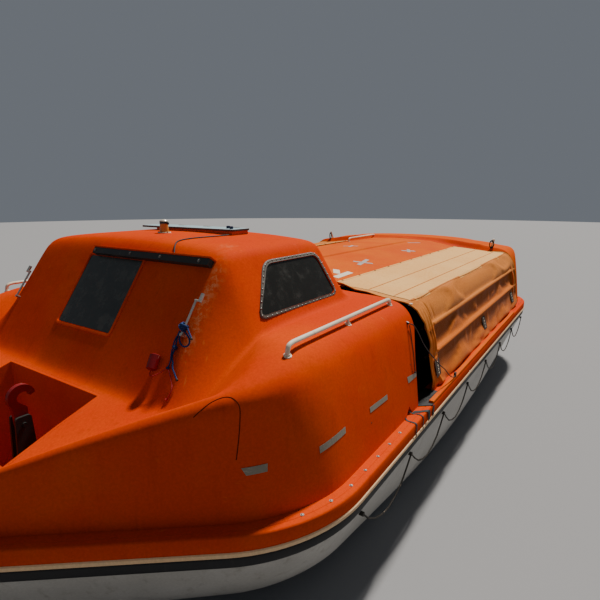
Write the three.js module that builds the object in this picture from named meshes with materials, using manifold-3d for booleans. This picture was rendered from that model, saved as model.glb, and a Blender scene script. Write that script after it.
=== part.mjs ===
// A partially enclosed lifeboat, double ended, with a raised wheelhouse at the stern.
// Millimetres. +X is the bow, +Y is port and +Z is up. The origin is amidships at the waterline.
import * as THREE from "three";
import { mergeVertices } from "three/addons/utils/BufferGeometryUtils.js";
import Module from "manifold-3d";

const wasm = await Module();
wasm.setup();

// Driving dimensions of the whole boat.
const LENGTH = 10700;
const BEAM = 4410;
const KEEL_Z = -765;
const GAP = 0.4;
const GRP = 25;

// Heights of the rings round the boat's edge, from below.
const HULL_TOP_Z = 880;
const FENDER_TOP_Z = 965;
const STRIP_TOP_Z = 1000;
const GUNWALE_TOP_Z = 1100;

// The plan of the gunwale: straight sides, corner arcs, slanted ends and round tips.
const SIDE_Y = BEAM / 2;
const END_X = LENGTH / 2;
const CORNER = { x: 3200, radius: 1100 };
const TIP = { x: END_X - 500, radius: 500 };
const CORNER_Y = SIDE_Y - CORNER.radius;
const TURN = Math.atan2(CORNER_Y, TIP.x - CORNER.x)
  + Math.asin((CORNER.radius - TIP.radius) / Math.hypot(CORNER_Y, TIP.x - CORNER.x));

// The canopy's foot stands this far inside the gunwale's edge.
const CANOPY_INSET = 110;
const CANOPY_FOOT_Z = GUNWALE_TOP_Z + GAP;
const STERN_EDGE_X = -1745;
const BOW_EDGE_X = 2950;
const TIP_X = END_X - CANOPY_INSET - 60;

// The hook bays at both ends, one recess each.
// overZ is a height above all of the canopy, for cutting tools.
const BAY = { near: 3990, far: 4650, halfWidth: 620, floorZ: 700, wall: 20, overZ: 2600 };
const HOOK_X = 4250;

// The wheelhouse: its slanted aft face and its sides.
const FACE_FOOT = { x: -3930, z: 1650 };
const FACE_LEAN = THREE.MathUtils.degToRad(35);
const HOUSE_TOP_Z = 2555;
const HOUSE_EDGE_Y = 1150;
const HOUSE_SIDE_FOOT = { y: 1400, z: 2060 };
const HOUSE_SIDE_TOP = { y: 1165, z: 2495 };

const COLOURS = {
  orange: { color: 0xd9601c, roughness: 0.45, metalness: 0 },
  cream: { color: 0xe8d8b8, roughness: 0.55, metalness: 0 },
  black: { color: 0x1c1c1c, roughness: 0.8, metalness: 0 },
  hull: { color: 0xd8d8d0, roughness: 0.5, metalness: 0 },
  canvas: { color: 0xc8864a, roughness: 0.9, metalness: 0 },
  glass: { color: 0x14181a, roughness: 0.1, metalness: 0 },
  steel: { color: 0xb8bab8, roughness: 0.4, metalness: 0.8 },
  white: { color: 0xe8e8e0, roughness: 0.5, metalness: 0 },
  grey: { color: 0x98a0a0, roughness: 0.6, metalness: 0 },
  bronze: { color: 0xb08040, roughness: 0.35, metalness: 0.9 },
  red: { color: 0x8a1018, roughness: 0.5, metalness: 0 },
  amber: { color: 0xd89020, roughness: 0.4, metalness: 0 },
  blue: { color: 0x1e4b8c, roughness: 0.8, metalness: 0 },
};

const boat = new THREE.Group();

// Adds one named piece to the boat, or to a group that places it.
function addPiece(name, geometry, colour, parent = boat) {
  const material = new THREE.MeshStandardMaterial(COLOURS[colour]);
  const mesh = new THREE.Mesh(geometry, material);
  mesh.name = name;
  parent.add(mesh);
  return mesh;
}

// Turns a closed geometry into a solid that can be joined and cut.
function solid(geometry) {
  const source = geometry.index ? geometry.toNonIndexed() : geometry;
  const bare = new THREE.BufferGeometry();
  bare.setAttribute("position", source.getAttribute("position"));
  const merged = mergeVertices(bare, 1e-3);
  return new wasm.Manifold(new wasm.Mesh({
    numProp: 3,
    vertProperties: Float32Array.from(merged.getAttribute("position").array),
    triVerts: Uint32Array.from(merged.index.array),
  }));
}

// Turns a solid back into a geometry.
function geometryOf(body) {
  const mesh = body.getMesh();
  const geometry = new THREE.BufferGeometry();
  geometry.setAttribute("position", new THREE.BufferAttribute(mesh.vertProperties, 3));
  geometry.setIndex(new THREE.BufferAttribute(mesh.triVerts, 1));
  geometry.computeVertexNormals();
  return geometry;
}

// Joins several solids into one.
function join(first, ...others) {
  return others.reduce((whole, next) => whole.add(next), first);
}

// A box between two corners.
function boxBetween(low, high) {
  const size = high.map((value, i) => value - low[i]);
  const geometry = new THREE.BoxGeometry(...size);
  return geometry.translate(...low.map((value, i) => value + size[i] / 2));
}

// A cylinder of a radius between two points.
function rod(from, to, radius, sides = 12) {
  const start = new THREE.Vector3(...from);
  const end = new THREE.Vector3(...to);
  const along = end.clone().sub(start);
  const geometry = new THREE.CylinderGeometry(radius, radius, along.length(), sides);
  const turn = new THREE.Quaternion();
  turn.setFromUnitVectors(new THREE.Vector3(0, 1, 0), along.clone().normalize());
  geometry.applyQuaternion(turn);
  return geometry.translate(...start.add(end).multiplyScalar(0.5).toArray());
}

// A round tube along a polyline whose corners are eased by a curve.
function tube(points, radius, steps, sides = 8) {
  const path = new THREE.CatmullRomCurve3(points.map((p) => new THREE.Vector3(...p)), false, "centripetal");
  const circle = new THREE.Shape();
  for (let i = 0; i < sides; i += 1) {
    const angle = (i / sides) * 2 * Math.PI;
    const at = [radius * Math.cos(angle), radius * Math.sin(angle)];
    if (i === 0) {
      circle.moveTo(...at);
    } else {
      circle.lineTo(...at);
    }
  }
  return new THREE.ExtrudeGeometry(circle, { steps, extrudePath: path, bevelEnabled: false });
}

// A flat shape with straight sides, from a list of corners.
function polygon(corners) {
  return new THREE.Shape(corners.map(([x, y]) => new THREE.Vector2(x, y)));
}

// A rectangle or other corner list with every corner rounded.
function roundedPolygon(corners, radius) {
  const shape = new THREE.Shape();
  const points = corners.map(([x, y]) => new THREE.Vector2(x, y));
  points.forEach((corner, i) => {
    const before = points[(i + points.length - 1) % points.length];
    const after = points[(i + 1) % points.length];
    const enter = corner.clone().add(before.clone().sub(corner).setLength(radius));
    const leave = corner.clone().add(after.clone().sub(corner).setLength(radius));
    if (i === 0) {
      shape.moveTo(enter.x, enter.y);
    } else {
      shape.lineTo(enter.x, enter.y);
    }
    shape.quadraticCurveTo(corner.x, corner.y, leave.x, leave.y);
  });
  shape.closePath();
  return shape;
}

// A rectangle centred on the origin, as a corner list.
function rectangle(width, height) {
  const [x, y] = [width / 2, height / 2];
  return [[-x, -y], [x, -y], [x, y], [-x, y]];
}

// A shape given a thickness from z = 0 upwards.
function extruded(shape, depth, curveSegments = 4) {
  return new THREE.ExtrudeGeometry(shape, { depth, bevelEnabled: false, curveSegments });
}

// A closed skin through loops of equal count, capped at both ends, faces outward.
// flatten drops the coordinate that a loop holds constant.
function loft(loops, flatten) {
  const count = loops[0].length;
  const triangles = [];
  for (let i = 0; i + 1 < loops.length; i += 1) {
    for (let j = 0; j < count; j += 1) {
      const k = (j + 1) % count;
      triangles.push([loops[i][j], loops[i][k], loops[i + 1][k]]);
      triangles.push([loops[i][j], loops[i + 1][k], loops[i + 1][j]]);
    }
  }
  for (const [loop, reversed] of [[loops[0], true], [loops[loops.length - 1], false]]) {
    const outline = loop.map((p) => new THREE.Vector2(...flatten(p)));
    const clockwise = THREE.ShapeUtils.isClockWise(outline);
    for (const [a, b, c] of THREE.ShapeUtils.triangulateShape(outline, [])) {
      const order = clockwise === reversed ? [a, b, c] : [a, c, b];
      triangles.push(order.map((index) => loop[index]));
    }
  }
  const corners = triangles.map((t) => t.map((p) => new THREE.Vector3(...p)));
  const volume = corners.reduce((sum, [a, b, c]) => sum + a.dot(b.clone().cross(c)), 0);
  const facing = volume < 0 ? corners.map(([a, b, c]) => [a, c, b]) : corners;
  return new THREE.BufferGeometry().setFromPoints(facing.flat());
}

// Straight-line interpolation in a table of rows [x, value].
function along(table, x) {
  if (x <= table[0][0]) {
    return table[0][1];
  }
  for (let i = 1; i < table.length; i += 1) {
    const [x0, low] = table[i - 1];
    const [x1, high] = table[i];
    if (x <= x1) {
      return low + ((high - low) * (x - x0)) / (x1 - x0);
    }
  }
  return table[table.length - 1][1];
}

// Half the boat's breadth at x, on the gunwale's plan moved inward by inset.
function halfBreadth(x, inset) {
  const reach = Math.abs(x);
  const corner = CORNER.radius - inset;
  const tip = TIP.radius - inset;
  if (reach <= CORNER.x) {
    return SIDE_Y - inset;
  }
  if (reach <= CORNER.x + corner * Math.sin(TURN)) {
    return CORNER_Y + Math.sqrt(corner ** 2 - (reach - CORNER.x) ** 2);
  }
  if (reach <= TIP.x + tip * Math.sin(TURN)) {
    const level = CORNER.x * Math.sin(TURN) + CORNER_Y * Math.cos(TURN) + corner;
    return (level - reach * Math.sin(TURN)) / Math.cos(TURN);
  }
  return Math.sqrt(Math.max(0, tip ** 2 - (reach - TIP.x) ** 2));
}

// The plan's quarter from amidships to the tip, as points [x, y].
function planQuarter(inset) {
  const points = [0, 1100, 2200].map((x) => [x, SIDE_Y - inset]);
  const arcs = [
    { x: CORNER.x, y: CORNER_Y, radius: CORNER.radius - inset, from: 0, to: TURN, steps: 6 },
    { x: TIP.x, y: 0, radius: TIP.radius - inset, from: TURN, to: Math.PI / 2, steps: 4 },
  ];
  for (const arc of arcs) {
    for (let i = 0; i <= arc.steps; i += 1) {
      const angle = arc.from + ((arc.to - arc.from) * i) / arc.steps;
      points.push([arc.x + arc.radius * Math.sin(angle), arc.y + arc.radius * Math.cos(angle)]);
    }
  }
  points[points.length - 1][1] = 0;
  return points;
}

// A whole outline from its quarter, mirrored fore and aft and side to side.
function mirrored(quarter) {
  const back = [...quarter].reverse();
  return [
    ...back,
    ...quarter.slice(1).map(([x, y]) => [-x, y]),
    ...back.slice(1).map(([x, y]) => [-x, -y]),
    ...quarter.slice(1, -1).map(([x, y]) => [x, -y]),
  ];
}

// A level ring that follows the plan, between two insets and two heights.
function planRing(outerInset, innerInset, lowZ, highZ) {
  const ring = polygon(mirrored(planQuarter(outerInset)));
  ring.holes.push(new THREE.Path(polygon(mirrored(planQuarter(innerInset))).getPoints()));
  return extruded(ring, highZ - lowZ).translate(0, 0, lowZ);
}

// The hull's levels from the bottom up. aft and fore are half lengths, full is how much of the
// gunwale's plan the level has: the rest is the finer outline of the underwater ends.
const HULL_LEVELS = [
  { z: -650, beam: 260, aft: 2500, fore: 3500, full: 0.2 },
  { z: -590, beam: 900, aft: 3000, fore: 3900, full: 0.2 },
  { z: -430, beam: 1420, aft: 3550, fore: 4300, full: 0.3 },
  { z: -200, beam: 1760, aft: 4150, fore: 4680, full: 0.45 },
  { z: 100, beam: 1980, aft: 4720, fore: 4960, full: 0.65 },
  { z: 480, beam: 2110, aft: 5120, fore: 5180, full: 0.85 },
  { z: HULL_TOP_Z, beam: 2180, aft: 5315, fore: 5315, full: 1 },
];

// One level outline of the hull, moved inward by inset.
function hullLevel(level, inset) {
  return mirrored(planQuarter(0)).map(([x, y]) => {
    const share = Math.abs(x) / END_X;
    const plan = Math.abs(y) / SIDE_Y;
    const fine = (1 - share ** 2.2) ** 0.9;
    const length = (x < 0 ? level.aft : level.fore) - inset * 1.5;
    const breadth = (level.beam - inset) * (plan * level.full + fine * (1 - level.full));
    return [(x / END_X) * length, Math.sign(y) * breadth];
  });
}

// The hull's form as one closed body, moved inward by inset and lifted at its bottom.
function hullForm(inset) {
  const loops = HULL_LEVELS.map((level) => hullLevel(level, inset).map(([x, y]) => [x, y, level.z + inset]));
  if (inset > 0) {
    const top = HULL_LEVELS[HULL_LEVELS.length - 1];
    loops.push(hullLevel(top, inset).map(([x, y]) => [x, y, top.z + 200]));
  }
  return solid(loft(loops, ([x, y]) => [x, y]));
}

// The skeg and the stern boss that the propeller shaft runs out of.
const SHAFT = { z: -470, radius: 20, bossX: -4250, bossFrontX: -3700, bossRadius: 75, boreDepth: 90 };
const SKEG = { foreX: 3900, footX: 3000, foreZ: -480, topZ: -300, slopeX: -3000, aftTopZ: -60, width: 120 };
const TRUNK = { lowZ: -250, topZ: 500, wellTopZ: 470, outer: 30, inner: 3 };
const HULL_THICKNESS = 30;

function makeHull() {
  const side = polygon([
    [SHAFT.bossX, KEEL_Z], [SKEG.footX, KEEL_Z], [SKEG.foreX, SKEG.foreZ], [SKEG.foreX, SKEG.topZ],
    [SKEG.slopeX, SKEG.topZ], [SHAFT.bossX, SKEG.aftTopZ],
  ]);
  const skeg = extruded(side, SKEG.width).rotateX(Math.PI / 2).translate(0, SKEG.width / 2, 0);
  const boss = rod([SHAFT.bossFrontX, 0, SHAFT.z], [SHAFT.bossX - 20, 0, SHAFT.z], SHAFT.bossRadius, 16);
  const boreStart = [SHAFT.bossX + SHAFT.boreDepth, 0, SHAFT.z];
  const bore = rod(boreStart, [SHAFT.bossX - 60, 0, SHAFT.z], SHAFT.radius + 2, 16);
  const trunk = rod([RUDDER.x, 0, TRUNK.lowZ], [RUDDER.x, 0, TRUNK.topZ], RUDDER.stock + TRUNK.outer, 16);
  const wellFoot = [RUDDER.x, 0, TRUNK.lowZ - 10];
  const well = rod(wellFoot, [RUDDER.x, 0, TRUNK.wellTopZ], RUDDER.stock + TRUNK.inner, 16);
  const outside = join(hullForm(0), solid(skeg), solid(boss));
  const shell = outside.subtract(hullForm(HULL_THICKNESS));
  const withTrunk = shell.add(solid(trunk).subtract(cutBelowHull()));
  addPiece("hull", geometryOf(withTrunk.subtract(solid(bore)).subtract(solid(well))), "hull");
}

// Everything under the hull's own skin near the rudder, which the trunk must not reach.
function cutBelowHull() {
  const block = boxBetween([RUDDER.x - 200, -200, -400], [RUDDER.x + 200, 200, 600]);
  return solid(block).subtract(hullForm(0));
}

// The rubber fender, the pale strip and the gunwale flange lie on each other.
function makeRings() {
  addPiece("fender_band", planRing(12, 140, HULL_TOP_Z + GAP, FENDER_TOP_Z), "black");
  addPiece("edge_strip", planRing(0, 150, FENDER_TOP_Z + GAP, STRIP_TOP_Z), "cream");
  addPiece("gunwale", planRing(6, 200, STRIP_TOP_Z + GAP, GUNWALE_TOP_Z), "orange");
}

// How the canopy's height runs along each end of the boat.
const STERN = { sign: -1, fallFrom: 3350, power: 1.2, shoulderZ: 2040 };
const BOW = { sign: 1, fallFrom: 3300, power: 1.8, shoulderZ: 2090 };
const SHOULDER_NARROW_FROM = 3300;
const SHOULDER_NARROW_OVER = 600;
const FACE_RISE = Math.tan(FACE_LEAN);
const FACE_TOP_X = FACE_FOOT.x + (2478 - FACE_FOOT.z) * FACE_RISE;

// Rows of [x, z]: the height of the middle part's edge, of the hollow beside it, and its crown.
const STERN_MIDDLE = [
  [FACE_FOOT.x, FACE_FOOT.z], [FACE_TOP_X, 2478], [FACE_TOP_X + 60, 2540], [FACE_TOP_X + 130, HOUSE_TOP_Z],
  [-2120, HOUSE_TOP_Z], [-2060, 2530], [-2030, 2480], [-1960, 2150], [-1900, 2060],
];
const STERN_HOLLOW = [
  [FACE_FOOT.x, 1655], [-3600, 1840], [-3300, 1980], [-3000, 2020], [-2100, 2020], [-1960, 2040],
];
const STERN_CROWN = [
  [FACE_TOP_X, 0], [FACE_TOP_X + 150, 75], [-2150, 75], [-2030, 0], [-1960, 0], [-1900, 120],
];
const BOW_MIDDLE = [[BOW_EDGE_X, 2150], [3300, 2160]];
const BOW_HOLLOW = [[BOW_EDGE_X, 2120], [3300, 2130]];
const BOW_CROWN = [[BOW_EDGE_X, 60], [3300, 60]];

// Offsets of the shoulder's points from the foot line and from the shoulder's height.
const SHOULDER = [
  { inward: 120, below: 240 }, { inward: 160, below: 135 }, { inward: 240, below: 50 },
  { inward: 370, below: 15 }, { inward: 575, below: 0 },
];

// The shoulder's height at x: level amidships, then falling to the tip in a superellipse.
function shoulderHeight(end, x) {
  const past = Math.max(0, Math.abs(x) - end.fallFrom) / (END_X - 50 - end.fallFrom);
  const share = (1 - Math.min(1, past) ** end.power) ** (1 / end.power);
  return CANOPY_FOOT_Z + (end.shoulderZ - CANOPY_FOOT_Z) * share;
}

// The height of a table's row, scaled down beyond its last row as the shoulder falls.
function middleHeight(end, table, x) {
  const limit = end === STERN ? FACE_FOOT.x : 3300;
  const beyond = Math.abs(x) > Math.abs(limit);
  const at = along(table, beyond ? limit : x);
  if (!beyond) {
    return at;
  }
  const share = (shoulderHeight(end, x) - CANOPY_FOOT_Z) / (shoulderHeight(end, limit) - CANOPY_FOOT_Z);
  return CANOPY_FOOT_Z + (at - CANOPY_FOOT_Z) * share;
}

// A height drawn inward by inset: the lowest of it just before, at and after x, less the inset.
// An inset below zero grows the form instead, so there it is the highest of them.
function insetHeight(height, x, inset) {
  const near = [height(x - inset), height(x), height(x + inset)];
  return (inset < 0 ? Math.max(...near) : Math.min(...near)) - inset;
}

// Half a canopy section at x, as points [y, z] from the foot to the centreline.
function halfSection(end, x, inset) {
  const tables = end === STERN
    ? { middle: STERN_MIDDLE, hollow: STERN_HOLLOW, crown: STERN_CROWN }
    : { middle: BOW_MIDDLE, hollow: BOW_HOLLOW, crown: BOW_CROWN };
  const foot = Math.max(20, halfBreadth(x, CANOPY_INSET + inset));
  const shoulder = insetHeight((at) => shoulderHeight(end, at), x, inset);
  const narrowTo = SHOULDER_NARROW_FROM + SHOULDER_NARROW_OVER;
  const narrowed = THREE.MathUtils.smoothstep(Math.abs(x), SHOULDER_NARROW_FROM, narrowTo);
  const width = 1 - 0.65 * narrowed;
  const shrink = Math.min(1, foot / halfBreadth(FACE_FOOT.x, CANOPY_INSET + inset));
  const hollow = insetHeight((at) => middleHeight(end, tables.hollow, at), x, inset);
  const middle = insetHeight((at) => middleHeight(end, tables.middle, at), x, inset);
  const crown = along(tables.crown, x) * shrink;
  const drop = Math.min(1, (shoulder - CANOPY_FOOT_Z) / (end.shoulderZ - CANOPY_FOOT_Z));
  const side = SHOULDER.map(({ inward, below }) => [
    foot - inward * width * shrink, shoulder - below * drop * Math.max(width, 0.5),
  ]);
  const edge = (HOUSE_EDGE_Y - inset) * shrink;
  const raised = middle - hollow;
  const step = Math.min(60, Math.max(0, raised) * 0.12);
  const footY = (HOUSE_SIDE_FOOT.y - inset) * shrink;
  return [
    [foot, CANOPY_FOOT_Z - (inset > 0 ? 60 : 0)],
    [foot - 65 * width * shrink, CANOPY_FOOT_Z + (shoulder - CANOPY_FOOT_Z) * 0.5],
    ...side,
    [footY + 35 * shrink, hollow],
    [footY, hollow + step],
    [edge + 15 * shrink, middle - step],
    [edge - 50 * shrink, middle],
    [edge * 0.5, middle + crown * 0.75],
    [0, middle + crown],
  ];
}

// A whole canopy section at x, as a closed loop of points.
function sectionLoop(end, x, inset) {
  const half = halfSection(end, x, inset);
  const other = [...half].reverse().slice(1).map(([y, z]) => [-y, z]);
  return [...half, ...other].map(([y, z]) => [x, y, z]);
}

// The height of the canopy's outer skin at x, y.
function skinHeight(end, x, y) {
  const rising = halfSection(end, x, 0).map(([across, z]) => [-across, z]);
  return along(rising, -Math.abs(y));
}

// The stations where the canopy's form turns, from the tip to the side opening.
const STERN_STATIONS = [
  -TIP_X, -5050, -4850, -4600, -4300, FACE_FOOT.x - 60, FACE_FOOT.x, -3750, -3560,
  FACE_TOP_X, FACE_TOP_X + 60, FACE_TOP_X + 130, -2800, -2120, -2060, -2030, -1960, -1900, STERN_EDGE_X,
];
const BOW_STATIONS = [BOW_EDGE_X, 3300, 3500, 3700, 3930, 4300, 4600, 4850, 5050, TIP_X];

// The canopy's outer form at one end, or the space inside its skin.
function canopyForm(end, inset) {
  const stations = end === STERN ? [...STERN_STATIONS] : [...BOW_STATIONS];
  if (inset > 0 && end === STERN) {
    stations[0] = -TIP_X + 60;
    stations[stations.length - 1] = STERN_EDGE_X + 100;
  }
  if (inset > 0 && end === BOW) {
    stations[0] = BOW_EDGE_X - 100;
    stations[stations.length - 1] = TIP_X - 60;
  }
  return solid(loft(stations.map((x) => sectionLoop(end, x, inset)), ([, y, z]) => [y, z]));
}

// A frame of axes on a flat wall: right, up and outward, from a point on it.
function wallFrame(origin, right, up) {
  const x = new THREE.Vector3(...right).normalize();
  const y = new THREE.Vector3(...up).normalize();
  const z = x.clone().cross(y);
  return new THREE.Matrix4().makeBasis(x, y, z).setPosition(...origin);
}

// The side windows' plane runs from the foot of the wheelhouse's side to its top edge.
const SIDE_RISE = [HOUSE_SIDE_TOP.y - HOUSE_SIDE_FOOT.y, HOUSE_SIDE_TOP.z - HOUSE_SIDE_FOOT.z];
const SIDE_WINDOW_LOW_Z = 2115;
const SIDE_WINDOW_Y = HOUSE_SIDE_FOOT.y
  + (SIDE_RISE[0] * (SIDE_WINDOW_LOW_Z - HOUSE_SIDE_FOOT.z)) / SIDE_RISE[1];
const SIDE_WINDOW = [[-3200, 0], [-2140, 0], [-2200, 370], [-2900, 370]];
const AFT_WINDOW = { halfWidth: 345, topZ: 2455, height: 615 };
const AFT_CORNERS = rectangle(2 * AFT_WINDOW.halfWidth, AFT_WINDOW.height);
const FRONT_WINDOW = { halfWidth: 640, lowZ: 2265, topZ: 2470 };

// The aft face's own axes: x to starboard, y up the slope and z out of it, from a height on it.
function faceFrame(z) {
  return wallFrame([FACE_FOOT.x + (z - FACE_FOOT.z) * FACE_RISE, 0, z], [0, -1, 0], [FACE_RISE, 0, 1]);
}

const FRONT_LEAN = (-1960 + 2030) / (2150 - 2480);

// The wheelhouse windows: where each lies, its corner list in its wall, and its corner radius.
const WINDOWS = [
  {
    name: "window_starboard",
    frame: wallFrame([0, -SIDE_WINDOW_Y, SIDE_WINDOW_LOW_Z], [1, 0, 0], [0, -SIDE_RISE[0], SIDE_RISE[1]]),
    corners: SIDE_WINDOW,
    radius: 70,
    gasket: true,
  },
  {
    name: "window_port",
    frame: wallFrame([0, SIDE_WINDOW_Y, SIDE_WINDOW_LOW_Z], [-1, 0, 0], [0, SIDE_RISE[0], SIDE_RISE[1]]),
    corners: SIDE_WINDOW.map(([x, s]) => [-x, s]).reverse(),
    radius: 70,
    gasket: true,
  },
  {
    name: "window_aft",
    frame: faceFrame(AFT_WINDOW.topZ),
    corners: AFT_CORNERS.map(([x, s]) => [x, s - AFT_WINDOW.height / 2]),
    radius: 20,
  },
  {
    name: "window_front",
    frame: wallFrame(
      [-2030 + (FRONT_WINDOW.lowZ - 2480) * FRONT_LEAN, 0, FRONT_WINDOW.lowZ],
      [0, 1, 0],
      [FRONT_LEAN, 0, 1],
    ),
    corners: rectangle(2 * FRONT_WINDOW.halfWidth, 200).map(([x, s]) => [x, s + 100]),
    radius: 50,
  },
];
const GASKET = { inner: 18, outer: 32, proud: 11, depth: 30 };

// A corner list grown outward from its middle by a distance on each side.
function grown(corners, by) {
  const middleX = (Math.min(...corners.map((c) => c[0])) + Math.max(...corners.map((c) => c[0]))) / 2;
  const middleY = (Math.min(...corners.map((c) => c[1])) + Math.max(...corners.map((c) => c[1]))) / 2;
  return corners.map(([x, y]) => [x + Math.sign(x - middleX) * by, y + Math.sign(y - middleY) * by]);
}

// The hole that a window needs, through its wall.
function windowHole({ frame, corners, radius }) {
  const depth = 160;
  const hole = extruded(roundedPolygon(corners, radius), depth).translate(0, 0, -depth / 2);
  return solid(hole.applyMatrix4(frame));
}

// What fills a window's hole up to the wall's outer face, so that its frame stays outside.
function windowPlug({ frame, corners, radius }) {
  const depth = 60;
  const plug = extruded(roundedPolygon(grown(corners, 2 * GAP), radius), depth);
  return solid(plug.translate(0, 0, -depth).applyMatrix4(frame));
}

// A pane in its hole, and the rubber frame that lies on the wall round it.
function makeWindow(window, skin) {
  const pane = extruded(roundedPolygon(grown(window.corners, -1), window.radius - 1), 8).translate(0, 0, -9);
  addPiece(window.name, pane.applyMatrix4(window.frame), "glass");
  if (!window.gasket) {
    return;
  }
  const outline = roundedPolygon(grown(window.corners, GASKET.outer), window.radius + GASKET.outer);
  const hole = roundedPolygon(grown(window.corners, -GASKET.inner), window.radius - GASKET.inner);
  outline.holes.push(new THREE.Path(hole.getPoints(4)));
  const frame = extruded(outline, GASKET.depth).translate(0, 0, GASKET.proud - GASKET.depth);
  const seated = solid(frame.applyMatrix4(window.frame)).subtract(skin).subtract(windowPlug(window));
  addPiece(`${window.name}_gasket`, geometryOf(seated), "black");
}

// The rail that covers the head of the sliding aft window, standing off the face.
const WINDOW_RAIL = { starboard: 1077, port: 275, lowZ: 2457, height: 52, proud: 48, sunk: 20 };

function makeWindowRail(skin) {
  const frame = faceFrame(WINDOW_RAIL.lowZ);
  const { starboard, port, height, proud, sunk } = WINDOW_RAIL;
  const bar = boxBetween([-port, 0, -sunk], [starboard, height, proud]);
  addPiece("window_rail_aft", geometryOf(solid(bar.applyMatrix4(frame)).subtract(skin)), "black");
}

// The recess that a hook stands in: open at the top, its rim flush with the canopy.
function makeBay(end, form) {
  const name = end === STERN ? "hook_bay_stern" : "hook_bay_bow";
  const spanX = [BAY.near * end.sign, BAY.far * end.sign].sort((a, b) => a - b);
  const outside = boxBetween(
    [spanX[0], -BAY.halfWidth, BAY.floorZ - BAY.wall],
    [spanX[1], BAY.halfWidth, BAY.overZ - 200],
  );
  const inside = boxBetween(
    [spanX[0] + BAY.wall, -BAY.halfWidth + BAY.wall, BAY.floorZ],
    [spanX[1] - BAY.wall, BAY.halfWidth - BAY.wall, BAY.overZ - 100],
  );
  const above = boxBetween(
    [spanX[0] - 100, -BAY.halfWidth - 100, CANOPY_FOOT_Z],
    [spanX[1] + 100, BAY.halfWidth + 100, BAY.overZ],
  );
  const trimmed = solid(outside).subtract(solid(inside)).subtract(solid(above).subtract(form));
  addPiece(name, geometryOf(trimmed), "orange");
}

// The hole that a bay needs through the canopy.
function bayHole(end) {
  const spanX = [BAY.near * end.sign, BAY.far * end.sign].sort((a, b) => a - b);
  return solid(boxBetween(
    [spanX[0] - GAP, -BAY.halfWidth - GAP, BAY.floorZ + 200],
    [spanX[1] + GAP, BAY.halfWidth + GAP, BAY.overZ],
  ));
}

// The narrow hatch across the wheelhouse roof. Its coaming runs from one y to another, and the lid
// reaches beyond it on the port side.
const HATCH = {
  x: -2510, starboardY: -600, portY: 400, lengthX: 210, opening: 130, endWall: 50, coamingTopZ: 2645,
  coaming: 100, lidHalfWidth: 613, lid: 18, overhang: 10, corner: 12,
};
const HATCH_MIDDLE_Y = (HATCH.starboardY + HATCH.portY) / 2;
const HATCH_WIDTH = HATCH.portY - HATCH.starboardY;

// The aft shell's edge at the side entry slants aft towards its foot. These are its corners, as
// points [x, z] from the top down, and what lies forward of them is cut away.
const STERN_EDGE = [[-1745, 1790], [-1780, 1710], [-1809, 1637], [-1836, 1518], [-1853, 1261], [-1864, 1090]];

function edgeWedge() {
  const past = STERN_EDGE_X + 10;
  const corners = [...STERN_EDGE, [past, STERN_EDGE[STERN_EDGE.length - 1][1]], [past, STERN_EDGE[0][1]]];
  return solid(extruded(polygon(corners), BEAM).rotateX(Math.PI / 2).translate(0, SIDE_Y, 0));
}

function makeCanopies() {
  const sternForm = canopyForm(STERN, 0);
  const hatchHole = boxBetween(
    [HATCH.x - HATCH.opening / 2, HATCH.starboardY + HATCH.endWall, HATCH.coamingTopZ - 342],
    [HATCH.x + HATCH.opening / 2, HATCH.portY - HATCH.endWall, HATCH.coamingTopZ + 158],
  );
  let stern = sternForm.subtract(canopyForm(STERN, GRP)).subtract(bayHole(STERN)).subtract(solid(hatchHole));
  for (const window of WINDOWS) {
    stern = stern.subtract(windowHole(window));
  }
  addPiece("canopy_stern", geometryOf(stern.subtract(edgeWedge())), "orange");
  const bowForm = canopyForm(BOW, 0);
  addPiece("canopy_bow", geometryOf(bowForm.subtract(canopyForm(BOW, GRP)).subtract(bayHole(BOW))), "orange");
  makeBay(STERN, sternForm);
  makeBay(BOW, bowForm);
}

// The fixed roof between the two side openings, with its raised middle panel.
const ROOF = {
  edgeY: 1120, edgeZ: 2056, shoulderY: 1100, shoulderZ: 2060, middleY: 575, middleZ: 2150, crownZ: 2180,
};

// The roof's height at y.
function roofHeight(y) {
  const rows = [[0, ROOF.crownZ], [ROOF.middleY, ROOF.middleZ], [ROOF.shoulderY, ROOF.shoulderZ]];
  return along(rows, Math.abs(y));
}

// The roof's cross section between two offsets from its top, along the whole side opening.
function roofSlab(above, below) {
  const half = [
    [ROOF.edgeY, ROOF.edgeZ], [ROOF.shoulderY, ROOF.shoulderZ],
    [ROOF.middleY, ROOF.middleZ], [0, ROOF.crownZ],
  ];
  const line = [...half, ...[...half].reverse().slice(1).map(([y, z]) => [-y, z])];
  const top = line.map(([y, z]) => [y, z + above]);
  const under = [...line].reverse().map(([y, z]) => [y, z - below]);
  const length = BOW_EDGE_X - STERN_EDGE_X - 2 * GAP;
  const panel = extruded(polygon([...top, ...under]), length);
  return panel.rotateX(Math.PI / 2).rotateZ(Math.PI / 2).translate(STERN_EDGE_X + GAP, 0, 0);
}

function makeRoof() {
  addPiece("roof", roofSlab(0, GRP), "orange");
}

// The weather cover of one side, as points [y, z] from the gunwale to the roof.
const COVER = { x0: -1600, x1: 2880, thickness: 12 };
const COVER_LINE = [
  [2085, 1130], [2088, 1245], [2075, 1600], [2000, 1830], [1926, 1958], [1824, 1994], [1563, 2020],
  [1342, 2050], [1050, 2085],
];
const FRAME_RODS = [{ y: 2038, z: 1463 }, { y: 1985, z: 1730 }];
const FRAME_ARCHES_X = [-450, 1850];
const FRAME_RADIUS = { rod: 12, arch: 15 };
const ARCH_LINE = [
  [2035, 1102], [2016, 1500], [1960, 1760], [1890, 1890], [1790, 1945], [1550, 1975], [1300, 2000],
  [1100, 2013], [575, 2096], [0, 2132],
];

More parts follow.
